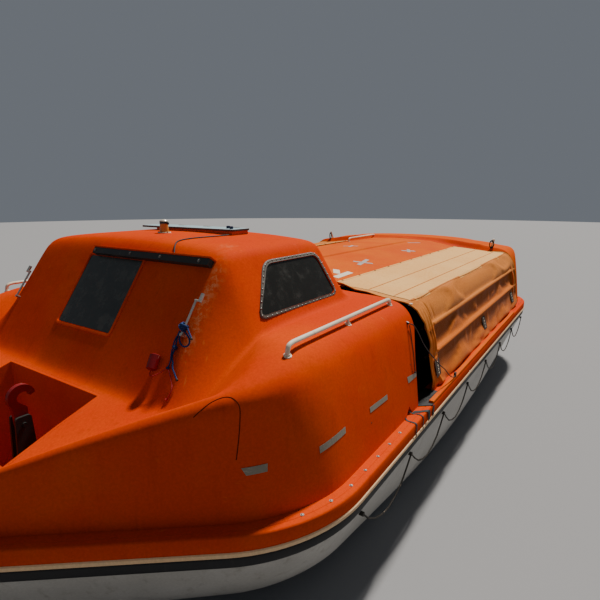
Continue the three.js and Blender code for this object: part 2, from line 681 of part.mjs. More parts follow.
// Moves an open line of points [y, z] towards its inner side by a distance.
function insideLine(line, by) {
  return line.map((point, i) => {
    const before = line[Math.max(0, i - 1)];
    const after = line[Math.min(line.length - 1, i + 1)];
    const direction = new THREE.Vector2(after[0] - before[0], after[1] - before[1]).normalize();
    return [point[0] - direction.y * by, point[1] + direction.x * by];
  });
}

function makeCovers() {
  for (const [side, sign] of [["starboard", -1], ["port", 1]]) {
    const inner = insideLine(COVER_LINE, COVER.thickness);
    const outline = [...COVER_LINE, ...inner.reverse()].map(([y, z]) => [sign * y, z]);
    const cover = extruded(polygon(outline), COVER.x1 - COVER.x0);
    cover.rotateX(Math.PI / 2).rotateZ(Math.PI / 2).translate(COVER.x0, 0, 0);
    addPiece(`cover_${side}`, cover, "canvas");
  }
}

// The welded frame under both covers: arches from gunwale to gunwale, and rods along the sides.
function makeCoverFrame() {
  const arches = FRAME_ARCHES_X.map((x) => {
    const half = ARCH_LINE.map(([y, z]) => [x, y, z]);
    const other = [...half].reverse().slice(1).map(([, y, z]) => [x, -y, z]);
    return solid(tube([...half, ...other], FRAME_RADIUS.arch, 34));
  });
  const rods = [-1, 1].flatMap((sign) => FRAME_RODS.map(({ y, z }) => {
    return solid(rod([COVER.x0 + 30, sign * y, z], [COVER.x1 - 30, sign * y, z], FRAME_RADIUS.rod));
  }));
  addPiece("cover_frame", geometryOf(join(...arches, ...rods)), "steel");
}

// The raised lip along the gunwale outside each cover's foot.
// y runs out from the centreline and z up, for the starboard and the port piece alike.
const LIP = { x0: -1745, x1: 2300, inner: 2150, outer: 2196, height: 26, radius: 9 };

// The lip of one side: a bar on the gunwale's top with rounded edges.
function lipBar(sign) {
  const { x0, x1, inner, outer, height, radius } = LIP;
  const z0 = GUNWALE_TOP_Z + GAP;
  const z1 = z0 + height;
  const corners = [[inner, z0], [outer, z0], [outer, z1], [inner, z1]].map(([y, z]) => [sign * y, z]);
  const bar = extruded(roundedPolygon(corners, radius), x1 - x0, 2);
  return bar.rotateX(Math.PI / 2).rotateZ(Math.PI / 2).translate(x0, 0, 0);
}

function makeLips() {
  addPiece("gunwale_lip_starboard", lipBar(-1), "orange");
  addPiece("gunwale_lip_port", lipBar(1), "orange");
}

// The inner floor, side benches and middle bench, and the casing over the engine.
const FLOOR = { lowZ: 50, topZ: 90, endX: 4400 };
const BENCH = { topZ: 500, endX: 3000, innerY: 1150 };
const MIDDLE_BENCH = { x0: -1200, x1: 2700, halfWidth: 350 };
const CASING = { x0: -3300, x1: -2200, halfWidth: 400, topZ: 620, wall: 20, rest: 60 };
const ENGINE = { x0: -3150, x1: -2350, halfWidth: 270, lowZ: -560, topZ: 450 };

function makeInside() {
  const inside = hullForm(HULL_THICKNESS + 1);
  const floorHole = boxBetween(
    [CASING.x0 + CASING.rest, CASING.rest - CASING.halfWidth, FLOOR.lowZ - 50],
    [CASING.x1 - CASING.rest, CASING.halfWidth - CASING.rest, FLOOR.topZ + 110],
  );
  const slab = boxBetween([-FLOOR.endX, -SIDE_Y, FLOOR.lowZ], [FLOOR.endX, SIDE_Y, FLOOR.topZ]);
  addPiece("floor", geometryOf(solid(slab).intersect(inside).subtract(solid(floorHole))), "grey");
  const footZ = FLOOR.topZ + GAP;
  for (const [side, sign] of [["starboard", -1], ["port", 1]]) {
    const [near, far] = [sign * BENCH.innerY, sign * SIDE_Y].sort((a, b) => a - b);
    const block = solid(boxBetween([-BENCH.endX, near, footZ], [BENCH.endX, far, BENCH.topZ]));
    addPiece(`bench_${side}`, geometryOf(block.intersect(inside)), "white");
  }
  const { x0, x1, halfWidth } = MIDDLE_BENCH;
  addPiece("bench_middle", boxBetween([x0, -halfWidth, footZ], [x1, halfWidth, BENCH.topZ]), "white");
  const engine = solid(boxBetween(
    [ENGINE.x0, -ENGINE.halfWidth, ENGINE.lowZ], [ENGINE.x1, ENGINE.halfWidth, ENGINE.topZ],
  ));
  addPiece("engine", geometryOf(engine.intersect(inside)), "steel");
  const outer = boxBetween(
    [CASING.x0, -CASING.halfWidth, footZ],
    [CASING.x1, CASING.halfWidth, CASING.topZ],
  );
  const inner = boxBetween(
    [CASING.x0 + CASING.wall, -CASING.halfWidth + CASING.wall, FLOOR.lowZ],
    [CASING.x1 - CASING.wall, CASING.halfWidth - CASING.wall, CASING.topZ - CASING.wall],
  );
  addPiece("engine_casing", geometryOf(solid(outer).subtract(solid(inner))), "white");
}

// The helm inside the wheelhouse: console, wheel on its shaft, and a seat on a post.
const CONSOLE = { aftX: -2400, foreX: -2210, topX: -2330, deskZ: 1850, topZ: 1950, halfWidth: 320 };
const WHEEL = { x: -2480, z: 1780, radius: 190, rim: 12, spoke: 9, hub: 24, hubAft: -30, hubFore: 74 };
const SEAT = {
  x: -2950, base: 160, baseHeight: 25, post: 35, z: 1395, length: 420, width: 440, pad: 70, corner: 60,
};

function makeConsole() {
  const footZ = CASING.topZ + GAP;
  const panel = polygon([
    [CONSOLE.aftX, footZ], [CONSOLE.foreX, footZ], [CONSOLE.foreX, CONSOLE.topZ],
    [CONSOLE.topX, CONSOLE.topZ], [CONSOLE.aftX, CONSOLE.deskZ],
  ]);
  const body = extruded(panel, 2 * CONSOLE.halfWidth).rotateX(Math.PI / 2).translate(0, CONSOLE.halfWidth, 0);
  addPiece("helm_console", body, "grey");
}

function makeWheel() {
  const rim = new THREE.TorusGeometry(WHEEL.radius, WHEEL.rim, 6, 20).rotateY(Math.PI / 2);
  const hub = rod([WHEEL.hubAft, 0, 0], [WHEEL.hubFore, 0, 0], WHEEL.hub, 12);
  const spokes = [0, 120, 240].map((angle) => {
    const a = THREE.MathUtils.degToRad(angle);
    const end = [0, WHEEL.radius * Math.sin(a), WHEEL.radius * Math.cos(a)];
    return solid(rod([0, 0, 0], end, WHEEL.spoke, 8));
  });
  const wheel = addPiece("steering_wheel", geometryOf(join(solid(rim), solid(hub), ...spokes)), "black");
  wheel.position.set(WHEEL.x, 0, WHEEL.z);
}

function makeSeat() {
  const footZ = CASING.topZ + GAP;
  const baseTopZ = CASING.topZ + SEAT.baseHeight;
  const base = rod([SEAT.x, 0, footZ], [SEAT.x, 0, baseTopZ], SEAT.base, 16);
  const post = rod([SEAT.x, 0, baseTopZ - 5], [SEAT.x, 0, SEAT.z + 5], SEAT.post, 12);
  const outline = roundedPolygon(rectangle(SEAT.length, SEAT.width), SEAT.corner);
  const pad = extruded(outline, SEAT.pad).translate(SEAT.x, 0, SEAT.z);
  addPiece("helm_seat", geometryOf(join(solid(base), solid(post), solid(pad))), "black");
}

// The propeller on its shaft, the ring and shoe that guard it, and the rudder behind it.
const PROPELLER = { x: -4450, radius: 200, blades: 4, hub: 42, hubHalf: 60, pitch: 35 };
const BLADE = { thickness: 9, halfWidth: 72, halfLength: 90 };
const GUARD = {
  inner: 236, outer: 252, length: 150, shoeTopZ: KEEL_Z + 46, shoeHalfWidth: 45, shoeAft: 70,
  strutHalfX: 50, strutHalfY: 15, strutTopZ: 200, pintleHole: 17,
};
const RUDDER = {
  x: -4790, stock: 25, stockTopZ: 440, foreX: -4690, aftX: -5030, lowZ: -710, topZ: -150, rake: 40,
  corner: 40, thickness: 36, pintle: 14,
};

function makePropeller() {
  const hub = solid(rod([-PROPELLER.hubHalf, 0, 0], [PROPELLER.hubHalf, 0, 0], PROPELLER.hub, 16));
  const shaft = solid(rod([0, 0, 0], [SHAFT.bossX + 80 - PROPELLER.x, 0, 0], SHAFT.radius, 16));
  const blades = [];
  for (let i = 0; i < PROPELLER.blades; i += 1) {
    const blade = new THREE.SphereGeometry(1, 12, 8);
    blade.scale(BLADE.thickness, BLADE.halfWidth, BLADE.halfLength);
    blade.rotateZ(THREE.MathUtils.degToRad(PROPELLER.pitch));
    blade.translate(0, 0, PROPELLER.radius - BLADE.halfLength);
    blades.push(solid(blade.rotateX((i / PROPELLER.blades) * 2 * Math.PI)));
  }
  const propeller = addPiece("propeller", geometryOf(join(hub, shaft, ...blades)), "bronze");
  propeller.position.set(PROPELLER.x, 0, SHAFT.z);
}

function makeGuard() {
  const { inner, outer, length } = GUARD;
  const profile = [[inner, 0], [outer, 0], [outer, length], [inner, length], [inner, 0]];
  const ring = new THREE.LatheGeometry(profile.map(([r, y]) => new THREE.Vector2(r, y)), 32);
  ring.rotateZ(Math.PI / 2).translate(PROPELLER.x + length / 2, 0, SHAFT.z);
  const shoe = boxBetween(
    [RUDDER.x - GUARD.shoeAft, -GUARD.shoeHalfWidth, KEEL_Z],
    [SHAFT.bossX - GAP, GUARD.shoeHalfWidth, GUARD.shoeTopZ],
  );
  const strut = boxBetween(
    [PROPELLER.x - GUARD.strutHalfX, -GUARD.strutHalfY, SHAFT.z + inner + 6],
    [PROPELLER.x + GUARD.strutHalfX, GUARD.strutHalfY, GUARD.strutTopZ],
  );
  const strutFit = solid(strut).subtract(hullForm(-1));
  const holeTop = [RUDDER.x, 0, GUARD.shoeTopZ + 20];
  const pintleHole = rod([RUDDER.x, 0, KEEL_Z - 10], holeTop, GUARD.pintleHole, 16);
  const whole = join(solid(ring), solid(shoe), strutFit).subtract(solid(pintleHole));
  addPiece("propeller_guard", geometryOf(whole), "steel");
}

function makeRudder() {
  const outline = roundedPolygon([
    [RUDDER.foreX, RUDDER.lowZ], [RUDDER.aftX, RUDDER.lowZ],
    [RUDDER.aftX + RUDDER.rake, RUDDER.topZ], [RUDDER.foreX, RUDDER.topZ],
  ], RUDDER.corner);
  const blade = extruded(outline, RUDDER.thickness).rotateX(Math.PI / 2);
  blade.translate(0, RUDDER.thickness / 2, 0);
  const stock = rod([RUDDER.x, 0, RUDDER.lowZ + 20], [RUDDER.x, 0, RUDDER.stockTopZ], RUDDER.stock, 16);
  const pintle = rod([RUDDER.x, 0, RUDDER.lowZ + 10], [RUDDER.x, 0, KEEL_Z + 8], RUDDER.pintle, 16);
  addPiece("rudder", geometryOf(join(solid(blade), solid(stock), solid(pintle))), "steel");
}

// One lifting hook: a post with two cheeks and a cross pin, and the hook that turns on the pin.
const HOOK = { pivotZ: 1360, thickness: 40, pin: 16, pinHalf: 60, play: 1.5 };
const POST = {
  baseX: 160, baseY: 120, base: 24, footX: 90, headX: 55, headRise: 60, corner: 25, gap: 28, cheek: 20,
};
const SPACER = { halfX: 60, height: 300 };

// The hook seen from the side: a straight arm, and a bend between an outer and an inner arc.
function hookShape() {
  const bend = { x: -20, y: 190, radius: 95 };
  const throat = { x: -30, y: 185, radius: 45 };
  const open = Math.PI * 0.95;
  const outline = new THREE.Shape();
  outline.moveTo(-50, -70);
  outline.lineTo(35, -70);
  outline.lineTo(50, 90);
  outline.absarc(bend.x, bend.y, bend.radius, -0.6, open, false);
  outline.lineTo(-80, 190);
  outline.absarc(throat.x, throat.y, throat.radius, open, -0.5, true);
  outline.lineTo(-48, 110);
  outline.closePath();
  return outline;
}

// The post that a hook turns in: a base, two cheeks with a spacer, and the pin.
function hookPost() {
  const footZ = BAY.floorZ + GAP;
  const lowZ = BAY.floorZ + 20;
  const headZ = HOOK.pivotZ + POST.headRise;
  const base = boxBetween(
    [-POST.baseX, -POST.baseY, footZ],
    [POST.baseX, POST.baseY, BAY.floorZ + POST.base],
  );
  const outline = [
    [-POST.footX, lowZ], [POST.footX, lowZ], [POST.headX, headZ], [-POST.headX, headZ],
  ];
  const cheeks = [-POST.gap, POST.gap + POST.cheek].map((y) => {
    const cheek = extruded(roundedPolygon(outline, POST.corner), POST.cheek).rotateX(Math.PI / 2);
    return solid(cheek.translate(0, y, 0));
  });
  const halfY = POST.gap + 5;
  const spacer = boxBetween(
    [-SPACER.halfX, -halfY, lowZ],
    [SPACER.halfX, halfY, BAY.floorZ + SPACER.height],
  );
  const pin = rod([0, -HOOK.pinHalf, HOOK.pivotZ], [0, HOOK.pinHalf, HOOK.pivotZ], HOOK.pin, 16);
  return join(solid(base), ...cheeks, solid(spacer), solid(pin));
}

function makeHook(end) {
  const name = end === STERN ? "stern" : "bow";
  const placed = new THREE.Group();
  placed.position.set(HOOK_X * end.sign, 0, 0);
  placed.rotation.z = end === STERN ? Math.PI : 0;
  boat.add(placed);
  addPiece(`hook_post_${name}`, geometryOf(hookPost()), "black", placed);
  const arm = extruded(hookShape(), HOOK.thickness, 8).rotateX(Math.PI / 2);
  arm.translate(0, HOOK.thickness / 2, 0);
  const eye = rod([0, -50, 0], [0, 50, 0], HOOK.pin + HOOK.play, 16);
  const hook = addPiece(`hook_${name}`, geometryOf(solid(arm).subtract(solid(eye))), "red", placed);
  hook.position.z = HOOK.pivotZ;
}

// The hatch on the wheelhouse roof: a low coaming with a hinged lid.
function makeHatch(skin) {
  const frame = polygon(rectangle(HATCH.lengthX, HATCH_WIDTH));
  const hole = polygon(rectangle(HATCH.opening, HATCH_WIDTH - 2 * HATCH.endWall));
  frame.holes.push(new THREE.Path(hole.getPoints()));
  const coaming = extruded(frame, HATCH.coaming);
  coaming.translate(HATCH.x, HATCH_MIDDLE_Y, HATCH.coamingTopZ - HATCH.coaming);
  addPiece("hatch_coaming", geometryOf(solid(coaming).subtract(skin)), "orange");
  const outline = rectangle(HATCH.lengthX + 2 * HATCH.overhang, 2 * HATCH.lidHalfWidth);
  const lid = addPiece("hatch_lid", extruded(roundedPolygon(outline, HATCH.corner), HATCH.lid), "grey");
  lid.position.set(HATCH.x, 0, HATCH.coamingTopZ + 1);
}

// Rows of [radius, height above the roof] of the position lamp: foot, lens, band and dome.
const LAMP = { x: -2875, y: -22, footZ: 2630 };
const LAMP_PROFILE = [
  [0, -15], [48, -15], [48, 6], [42, 9], [36, 78], [38, 79], [38, 98], [34, 105], [26, 112], [13, 117], [0, 118],
];

function makeLamp(skin) {
  const profile = LAMP_PROFILE.map(([radius, z]) => new THREE.Vector2(radius, z));
  const lamp = new THREE.LatheGeometry(profile, 20).rotateX(Math.PI / 2);
  lamp.translate(LAMP.x, LAMP.y, LAMP.footZ);
  addPiece("lamp", geometryOf(solid(lamp).subtract(skin)), "amber");
}

// Handrails: a bar on feet that stand on the surface that carries them.
const RAIL = { radius: 16, post: 13, foot: 30, footHeight: 12 };
const STERN_RAIL = { y: 1790, z: 2060, feetX: [-3448, -2675, -1909] };
const ROOF_RAIL = { y: 620, z: 2205, feetX: [1860, 2920] };
const RAIL_END = 10;

// A handrail along x at y and z, with a foot at each of feetX where height(x) gives the surface.
function makeRail(name, { y, z, feetX }, height, skin) {
  const ends = [feetX[0] - RAIL_END, feetX[feetX.length - 1] + RAIL_END];
  const bar = solid(rod([ends[0], y, z], [ends[1], y, z], RAIL.radius, 12));
  const posts = feetX.flatMap((x) => {
    const surface = height(x);
    return [
      solid(rod([x, y, surface - 30], [x, y, z], RAIL.post, 8)),
      solid(rod([x, y, surface - 30], [x, y, surface + RAIL.footHeight], RAIL.foot, 12)),
    ];
  });
  addPiece(name, geometryOf(join(bar, ...posts).subtract(skin)), "white");
}

function makeRails(sternSkin, roofSkin) {
  for (const [side, sign] of [["starboard", -1], ["port", 1]]) {
    const rail = { ...STERN_RAIL, y: sign * STERN_RAIL.y };
    makeRail(`rail_stern_${side}`, rail, (x) => skinHeight(STERN, x, rail.y), sternSkin);
  }
  makeRail("rail_roof_port", ROOF_RAIL, () => roofHeight(ROOF_RAIL.y), roofSkin);
}

// The cranked release handles on the aft face, in the face's axes from its foot.
const HANDLE = { x: 1095, bootY: 478, boot: 12, bendY: 728, gripY: 782, offset: 30, jog: 38, radius: 9, grip: 14 };

function handleSolid(sign, clearance) {
  const { x: across, bootY, boot, bendY, gripY, offset, jog, radius, grip } = HANDLE;
  const x = sign * across;
  const out = sign * (across + jog);
  const arm = radius + clearance;
  const pieces = [
    rod([x, bootY, -20], [x, bootY, offset + radius], boot, 12),
    rod([x, bootY, offset], [x, bendY, offset], arm, 8),
    rod([x - sign * radius, bendY, offset], [out, bendY, offset], arm, 8),
    rod([out, bendY - radius, offset], [out, gripY, offset], grip, 10),
  ];
  return join(...pieces.map((piece) => solid(piece.applyMatrix4(faceFrame(FACE_FOOT.z)))));
}

function makeHandles(skin) {
  addPiece("release_handle_starboard", geometryOf(handleSolid(1, 0).subtract(skin)), "steel");
  addPiece("release_handle_port", geometryOf(handleSolid(-1, 0).subtract(skin)), "steel");
}

// Where the cords of the starboard handle are tied, and the float that hangs there.
const KNOT = { x: 1088, y: 532, offset: 34, radius: 32 };
const FLOAT = { x: 965, y: 257, offset: 42, radius: 36, halfLength: 50, cap: 6, lean: 0.16 };

// A point on the aft face, from its own axes.
function onFace(x, y, offset) {
  return new THREE.Vector3(x, y, offset).applyMatrix4(faceFrame(FACE_FOOT.z)).toArray();
}

function makeKnot() {
  const ball = new THREE.SphereGeometry(KNOT.radius, 12, 8).translate(...onFace(KNOT.x, KNOT.y, KNOT.offset));
  addPiece("handle_knot", geometryOf(solid(ball).subtract(handleSolid(1, GAP))), "blue");
}

function makeFloat() {
  const { radius, halfLength, cap, lean } = FLOAT;
  const end = [[0, halfLength + cap], [radius * 0.6, halfLength + cap * 0.7], [radius, halfLength - cap / 2]];
  const profile = [...end.map(([r, y]) => [r, -y]), ...end.reverse()];
  const body = new THREE.LatheGeometry(profile.map(([r, y]) => new THREE.Vector2(r, y)), 20);
  body.rotateZ(lean).translate(FLOAT.x, FLOAT.y, FLOAT.offset);
  addPiece("marker_float", body.applyMatrix4(faceFrame(FACE_FOOT.z)), "red");
}

// The middle of the float's lower end, where its lanyard is tied.
const FLOAT_FOOT = onFace(
  FLOAT.x + (FLOAT.halfLength + FLOAT.cap + 0.5) * Math.sin(FLOAT.lean),
  FLOAT.y - (FLOAT.halfLength + FLOAT.cap + 0.5) * Math.cos(FLOAT.lean),
  FLOAT.offset,
);

// Cords that hang free, each a route of points [x, y, z].
const CORDS = [
  {
    name: "entry_lanyard", colour: "black", radius: 5, steps: 34,
    points: [
      [-1866, -1977, 1850], [-1838, -1984, 1842], [-1806, -2000, 1816], [-1768, -2030, 1740],
      [-1722, -2062, 1642], [-1654, -2094, 1553], [-1560, -2120, 1463], [-1460, -2140, 1380],
      [-1354, -2166, 1304], [-1276, -2178, 1236], [-1200, -2187, 1184], [-1130, -2191, 1152],
      [-1078, -2190, 1142], [-1050, -2186, 1144],
    ],
  },
  {
    name: "entry_lanyard_tail", colour: "black", radius: 4, steps: 16,
    points: [
      [-1879, -1977, 1842], [-1884, -1990, 1800], [-1890, -2002, 1758], [-1896, -2014, 1700],
      [-1899, -2028, 1635], [-1901, -2042, 1560], [-1901, -2052, 1480], [-1893, -2060, 1425],
    ],
  },
  {
    name: "handle_rope", colour: "blue", radius: 6, steps: 20,
    points: [
      onFace(1112, 501, 26), onFace(1127, 492, 21), onFace(1148, 478, 18), onFace(1168, 461, 18),
      onFace(1180, 439, 18), onFace(1175, 421, 18), onFace(1157, 410, 18), onFace(1134, 410, 18),
      onFace(1110, 420, 18), onFace(1092, 434, 18), onFace(1079, 450, 18), onFace(1075, 468, 19),
      onFace(1075, 484, 21), onFace(1078, 497, 24),
    ],
  },
  {
    name: "handle_rope_tail", colour: "blue", radius: 6, steps: 20,
    points: [
      onFace(1061, 500, 26), onFace(1058, 480, 22), onFace(1059, 453, 20), onFace(1066, 422, 18),
      onFace(1073, 393, 18), onFace(1076, 371, 18), onFace(1076, 350, 18), onFace(1081, 328, 18),
      onFace(1095, 308, 18), onFace(1110, 290, 18), onFace(1119, 269, 18), onFace(1134, 249, 17),
      onFace(1154, 232, 15), onFace(1175, 213, 12), onFace(1194, 196, 9),
    ],
  },
  {
    name: "handle_cord", colour: "red", radius: 5, steps: 16,
    points: [
      onFace(1094, 240, 16), onFace(1108, 229, 15), onFace(1124, 212, 14), onFace(1143, 191, 13),
      onFace(1162, 170, 12), onFace(1178, 149, 11), onFace(1186, 126, 10), onFace(1185, 105, 9),
      onFace(1179, 83, 8), onFace(1172, 63, 8),
    ],
  },
  {
    name: "float_lanyard", colour: "red", radius: 4, steps: 16,
    points: [
      onFace(1079, 242, 17), onFace(1068, 230, 22), onFace(1055, 213, 28), onFace(1040, 196, 34),
      onFace(1021, 180, 38), onFace(1000, 168, 41), onFace(983, 170, 42), onFace(976, 185, 42),
      FLOAT_FOOT,
    ],
  },
];

function makeCords() {
  for (const { name, colour, radius, steps, points } of CORDS) {
    addPiece(name, tube(points, radius, steps), colour);
  }
}

// The eye on the shell that the lanyards start from, and the clip on the gunwale that takes one.
const EYE = { x: -1873, y: -1943, z: 1862, length: 26, radius: 12 };
const CLIP = { x: -1030, y: -2185, z: 1126, halfLength: 18 };

function makeLanyardEnds(skin) {
  const eye = rod([EYE.x, EYE.y + 40, EYE.z + 10], [EYE.x, EYE.y - EYE.length, EYE.z - 8], EYE.radius, 10);
  addPiece("lanyard_eye", geometryOf(solid(eye).subtract(skin)), "black");
  const low = [CLIP.x - CLIP.halfLength, CLIP.y - 10, CLIP.z + 1];
  addPiece("lanyard_clip", boxBetween(low, [CLIP.x + CLIP.halfLength, CLIP.y + 10, CLIP.z + 44]), "black");
}

// The grab lines along both sides: a rope that hangs in loops between lugs under the fender.
const GRAB = { x0: -3150, loops: 7, pitch: 900, y: 2188, z: 846, sag: 230, radius: 7, lug: 16 };
const LOOP_POINTS = [[0.17, 0.6], [0.5, 1], [0.83, 0.6]];

function makeGrabLines() {
  const skin = hullForm(-GAP);
  for (const [side, sign] of [["starboard", -1], ["port", 1]]) {
    const y = sign * GRAB.y;
    const points = [[GRAB.x0, y, GRAB.z]];
    const lugs = [];
    for (let i = 0; i <= GRAB.loops; i += 1) {
      const x = GRAB.x0 + i * GRAB.pitch;
      lugs.push(solid(rod([x, y - sign * 60, GRAB.z], [x, y + sign * GRAB.radius, GRAB.z], GRAB.lug, 10)));
      if (i < GRAB.loops) {
        for (const [share, drop] of LOOP_POINTS) {
          points.push([x + share * GRAB.pitch, y, GRAB.z - drop * GRAB.sag]);
        }
        points.push([x + GRAB.pitch, y, GRAB.z]);
      }
    }
    const rope = solid(tube(points, GRAB.radius, GRAB.loops * 8, 6));
    addPiece(`grab_line_${side}`, geometryOf(join(rope, ...lugs).subtract(skin)), "black");
  }
}

const sternSkin = canopyForm(STERN, -GAP);
makeHull();
makeRings();
makeCanopies();
makeRoof();
makeCovers();
makeCoverFrame();
makeLips();
makeInside();
makeConsole();
makeWheel();
makeSeat();
makePropeller();
makeGuard();
makeRudder();
makeHook(STERN);
makeHook(BOW);
makeHatch(sternSkin);
makeLamp(sternSkin);
makeRails(sternSkin, solid(roofSlab(GAP, 200)));
makeHandles(sternSkin);
makeKnot();
makeFloat();
makeLanyardEnds(sternSkin);
makeCords();
makeGrabLines();
makeWindowRail(sternSkin);
for (const window of WINDOWS) {
  makeWindow(window, sternSkin);
}

export default boat;
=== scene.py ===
# %% [markdown]
# # A partially enclosed lifeboat
# The CAD model gives every hard part its size and place. This script dresses it: moulded orange
# shells with soft edges, canvas covers over the side openings, fittings, ropes and worn finishes.
# Everything is in metres. +X is the bow, +Y is port, +Z is up and z = 0 is the waterline.

# %% Load the frame
import math

import bpy
import numpy as np
from mathutils import Matrix, Vector
from mathutils.bvhtree import BVHTree


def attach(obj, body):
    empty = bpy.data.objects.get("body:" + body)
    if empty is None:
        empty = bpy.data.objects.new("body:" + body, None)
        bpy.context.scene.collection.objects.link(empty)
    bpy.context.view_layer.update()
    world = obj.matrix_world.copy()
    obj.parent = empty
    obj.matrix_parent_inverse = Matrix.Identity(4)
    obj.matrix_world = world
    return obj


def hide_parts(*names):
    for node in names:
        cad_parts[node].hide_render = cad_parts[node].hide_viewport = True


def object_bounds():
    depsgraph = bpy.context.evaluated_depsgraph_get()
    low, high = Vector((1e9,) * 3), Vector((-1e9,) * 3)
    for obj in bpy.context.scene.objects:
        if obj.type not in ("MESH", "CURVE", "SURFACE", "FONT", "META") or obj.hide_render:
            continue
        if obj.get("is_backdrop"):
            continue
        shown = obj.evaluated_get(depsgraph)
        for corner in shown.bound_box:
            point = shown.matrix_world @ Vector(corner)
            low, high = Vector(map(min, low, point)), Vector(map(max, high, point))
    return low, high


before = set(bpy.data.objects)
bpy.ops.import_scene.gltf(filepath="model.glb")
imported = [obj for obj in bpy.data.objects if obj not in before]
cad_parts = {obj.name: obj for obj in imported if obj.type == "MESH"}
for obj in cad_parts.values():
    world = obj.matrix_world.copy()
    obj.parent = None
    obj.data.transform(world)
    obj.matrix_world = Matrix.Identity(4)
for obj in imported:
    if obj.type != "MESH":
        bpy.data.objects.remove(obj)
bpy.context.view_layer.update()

# %% [markdown]
# ## The camera
# It stands where the photographer stood: by the stern quarter, on a deck a little above the
# gunwale. The place and the angles were found by matching edges of known length, so no lens
# shift is needed.

# %% Camera
CAMERA_AT = (-5.645, -3.356, 2.94)
CAMERA_YAW = math.radians(33.974)
CAMERA_PITCH = math.radians(-12.616)
CAMERA_LENS = 27.59
level = math.cos(CAMERA_PITCH)
looking = Vector((level * math.cos(CAMERA_YAW), level * math.sin(CAMERA_YAW), math.sin(CAMERA_PITCH)))
bpy.ops.object.camera_add(location=CAMERA_AT, rotation=looking.to_track_quat("-Z", "Y").to_euler())
camera = bpy.context.object
camera.data.sensor_width = 36
camera.data.lens = CAMERA_LENS
bpy.context.scene.camera = camera
print("camera looks along", [round(v, 3) for v in looking])

# %% [markdown]
# ## Helpers for shaping
# A boat's shell is built from sections, like ribs on a slipway. `moulded` does that: it adds a
# grid and lays its rows on the sections. A hand-extruded cage could not hold a measured form,
# so this is the one place where vertices are set by number. Everything else starts from
# primitives and is shaped with edit-mode operators and modifiers.


# %% Selection and modifiers
def deselect():
    bpy.ops.object.select_all(action="DESELECT")


def choose(obj):
    deselect()
    obj.select_set(True)
    bpy.context.view_layer.objects.active = obj
    return obj


def named(name):
    obj = bpy.context.object
    obj.name = obj.data.name = name
    return obj


def applied(obj, kind, **settings):
    choose(obj)
    modifier = obj.modifiers.new(kind.title(), kind)
    for key, value in settings.items():
        setattr(modifier, key, value)
    bpy.ops.object.modifier_apply(modifier=modifier.name)
    return obj


def in_edit(obj, *operators):
    choose(obj)
    bpy.ops.object.mode_set(mode="EDIT")
    bpy.ops.mesh.select_all(action="SELECT")
    for operator in operators:
        operator()
    bpy.ops.object.mode_set(mode="OBJECT")
    return obj


def outward(obj):
    return in_edit(obj, lambda: bpy.ops.mesh.normals_make_consistent(inside=False))


def bevelled(obj, width):
    return applied(obj, "BEVEL", width=width, segments=2, limit_method="ANGLE", angle_limit=math.radians(50))


def subdivided(obj, levels):
    return applied(obj, "SUBSURF", levels=levels, render_levels=levels, boundary_smooth="PRESERVE_CORNERS")


def thickened(obj, thickness):
    """Adds an inner face in the second material."""
    return applied(obj, "SOLIDIFY", thickness=thickness, offset=-1, material_offset=1, material_offset_rim=0)


def combined(obj, tool, operation="DIFFERENCE"):
    """A boolean that uses its tool up."""
    applied(obj, "BOOLEAN", operation=operation, solver="EXACT", object=tool)
    bpy.data.objects.remove(tool)
    return obj


def settle(obj):
    choose(obj)
    bpy.ops.object.transform_apply(location=True, rotation=True, scale=True)
    return obj


def smooth(obj, angle=40):
    choose(obj)
    bpy.ops.object.shade_smooth_by_angle(angle=math.radians(angle))
    return obj


def dress(obj, *materials, node=None, slot=None, body="boat"):
    """Gives a piece its finishes and its body, and hides the CAD node that it stands for."""
    for material in materials:
        obj.data.materials.append(material)
    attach(obj, body)
    if node:
        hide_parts(node)
    return obj


def joined(name, parts):
    deselect()
    for part in parts:
        part.select_set(True)
    bpy.context.view_layer.objects.active = parts[0]
    if len(parts) > 1:
        bpy.ops.object.join()
    return named(name)


# %% Moulded sheets and tubes
def facing(obj, inner):
    """Turns the faces away from a point inside the form, judged by their sum."""
    mesh = obj.data
    away = sum((p.center - Vector(inner)).dot(p.normal) * p.area for p in mesh.polygons)
    if away < 0:
        mesh.flip_normals()
    return obj


def moulded(name, rows, inner, round_way=False, long_way=False):
    """A grid laid on rows of points. round_way joins each row's ends, long_way the rows' ends."""
    rows = np.array(rows, float)
    count, across = rows.shape[:2]
    deselect()
    bpy.ops.mesh.primitive_grid_add(x_subdivisions=across - 1, y_subdivisions=count - 1, size=2)
    obj = named(name)
    obj.data.vertices.foreach_set("co", rows.reshape(-1))
    obj.data.update()
    if round_way or long_way:
        in_edit(obj, lambda: bpy.ops.mesh.remove_doubles(threshold=1e-5))
    return facing(obj, inner)


def running(points):
    """How far along a line each of its points lies."""
    return np.r_[0, np.cumsum(np.linalg.norm(np.diff(points, axis=0), axis=1))]


def resampled(points, count):
    """count points at an even pitch along straight legs."""
    points = np.array(points, float)
    steps = running(points)
    wanted = np.linspace(0, steps[-1], count)
    return np.stack([np.interp(wanted, steps, values) for values in points.T], axis=1)


def eased(points, count):
    """count points along a Catmull-Rom curve through points."""
    points = np.array(points, float)
    padded = np.vstack([2 * points[0] - points[1], points, 2 * points[-1] - points[-2]])
    fine = []
    for i in range(1, len(padded) - 2):
        a, b, c, d = padded[i - 1:i + 3]
        for t in np.linspace(0, 1, 24, endpoint=False):
            fine.append(0.5 * (2 * b + (c - a) * t + (2 * a - 5 * b + 4 * c - d) * t**2
                               + (3 * b - a - 3 * c + d) * t**3))
    return resampled([*fine, padded[-2]], count)


def path_length(path):
    return float(np.linalg.norm(np.diff(path, axis=0), axis=1).sum())


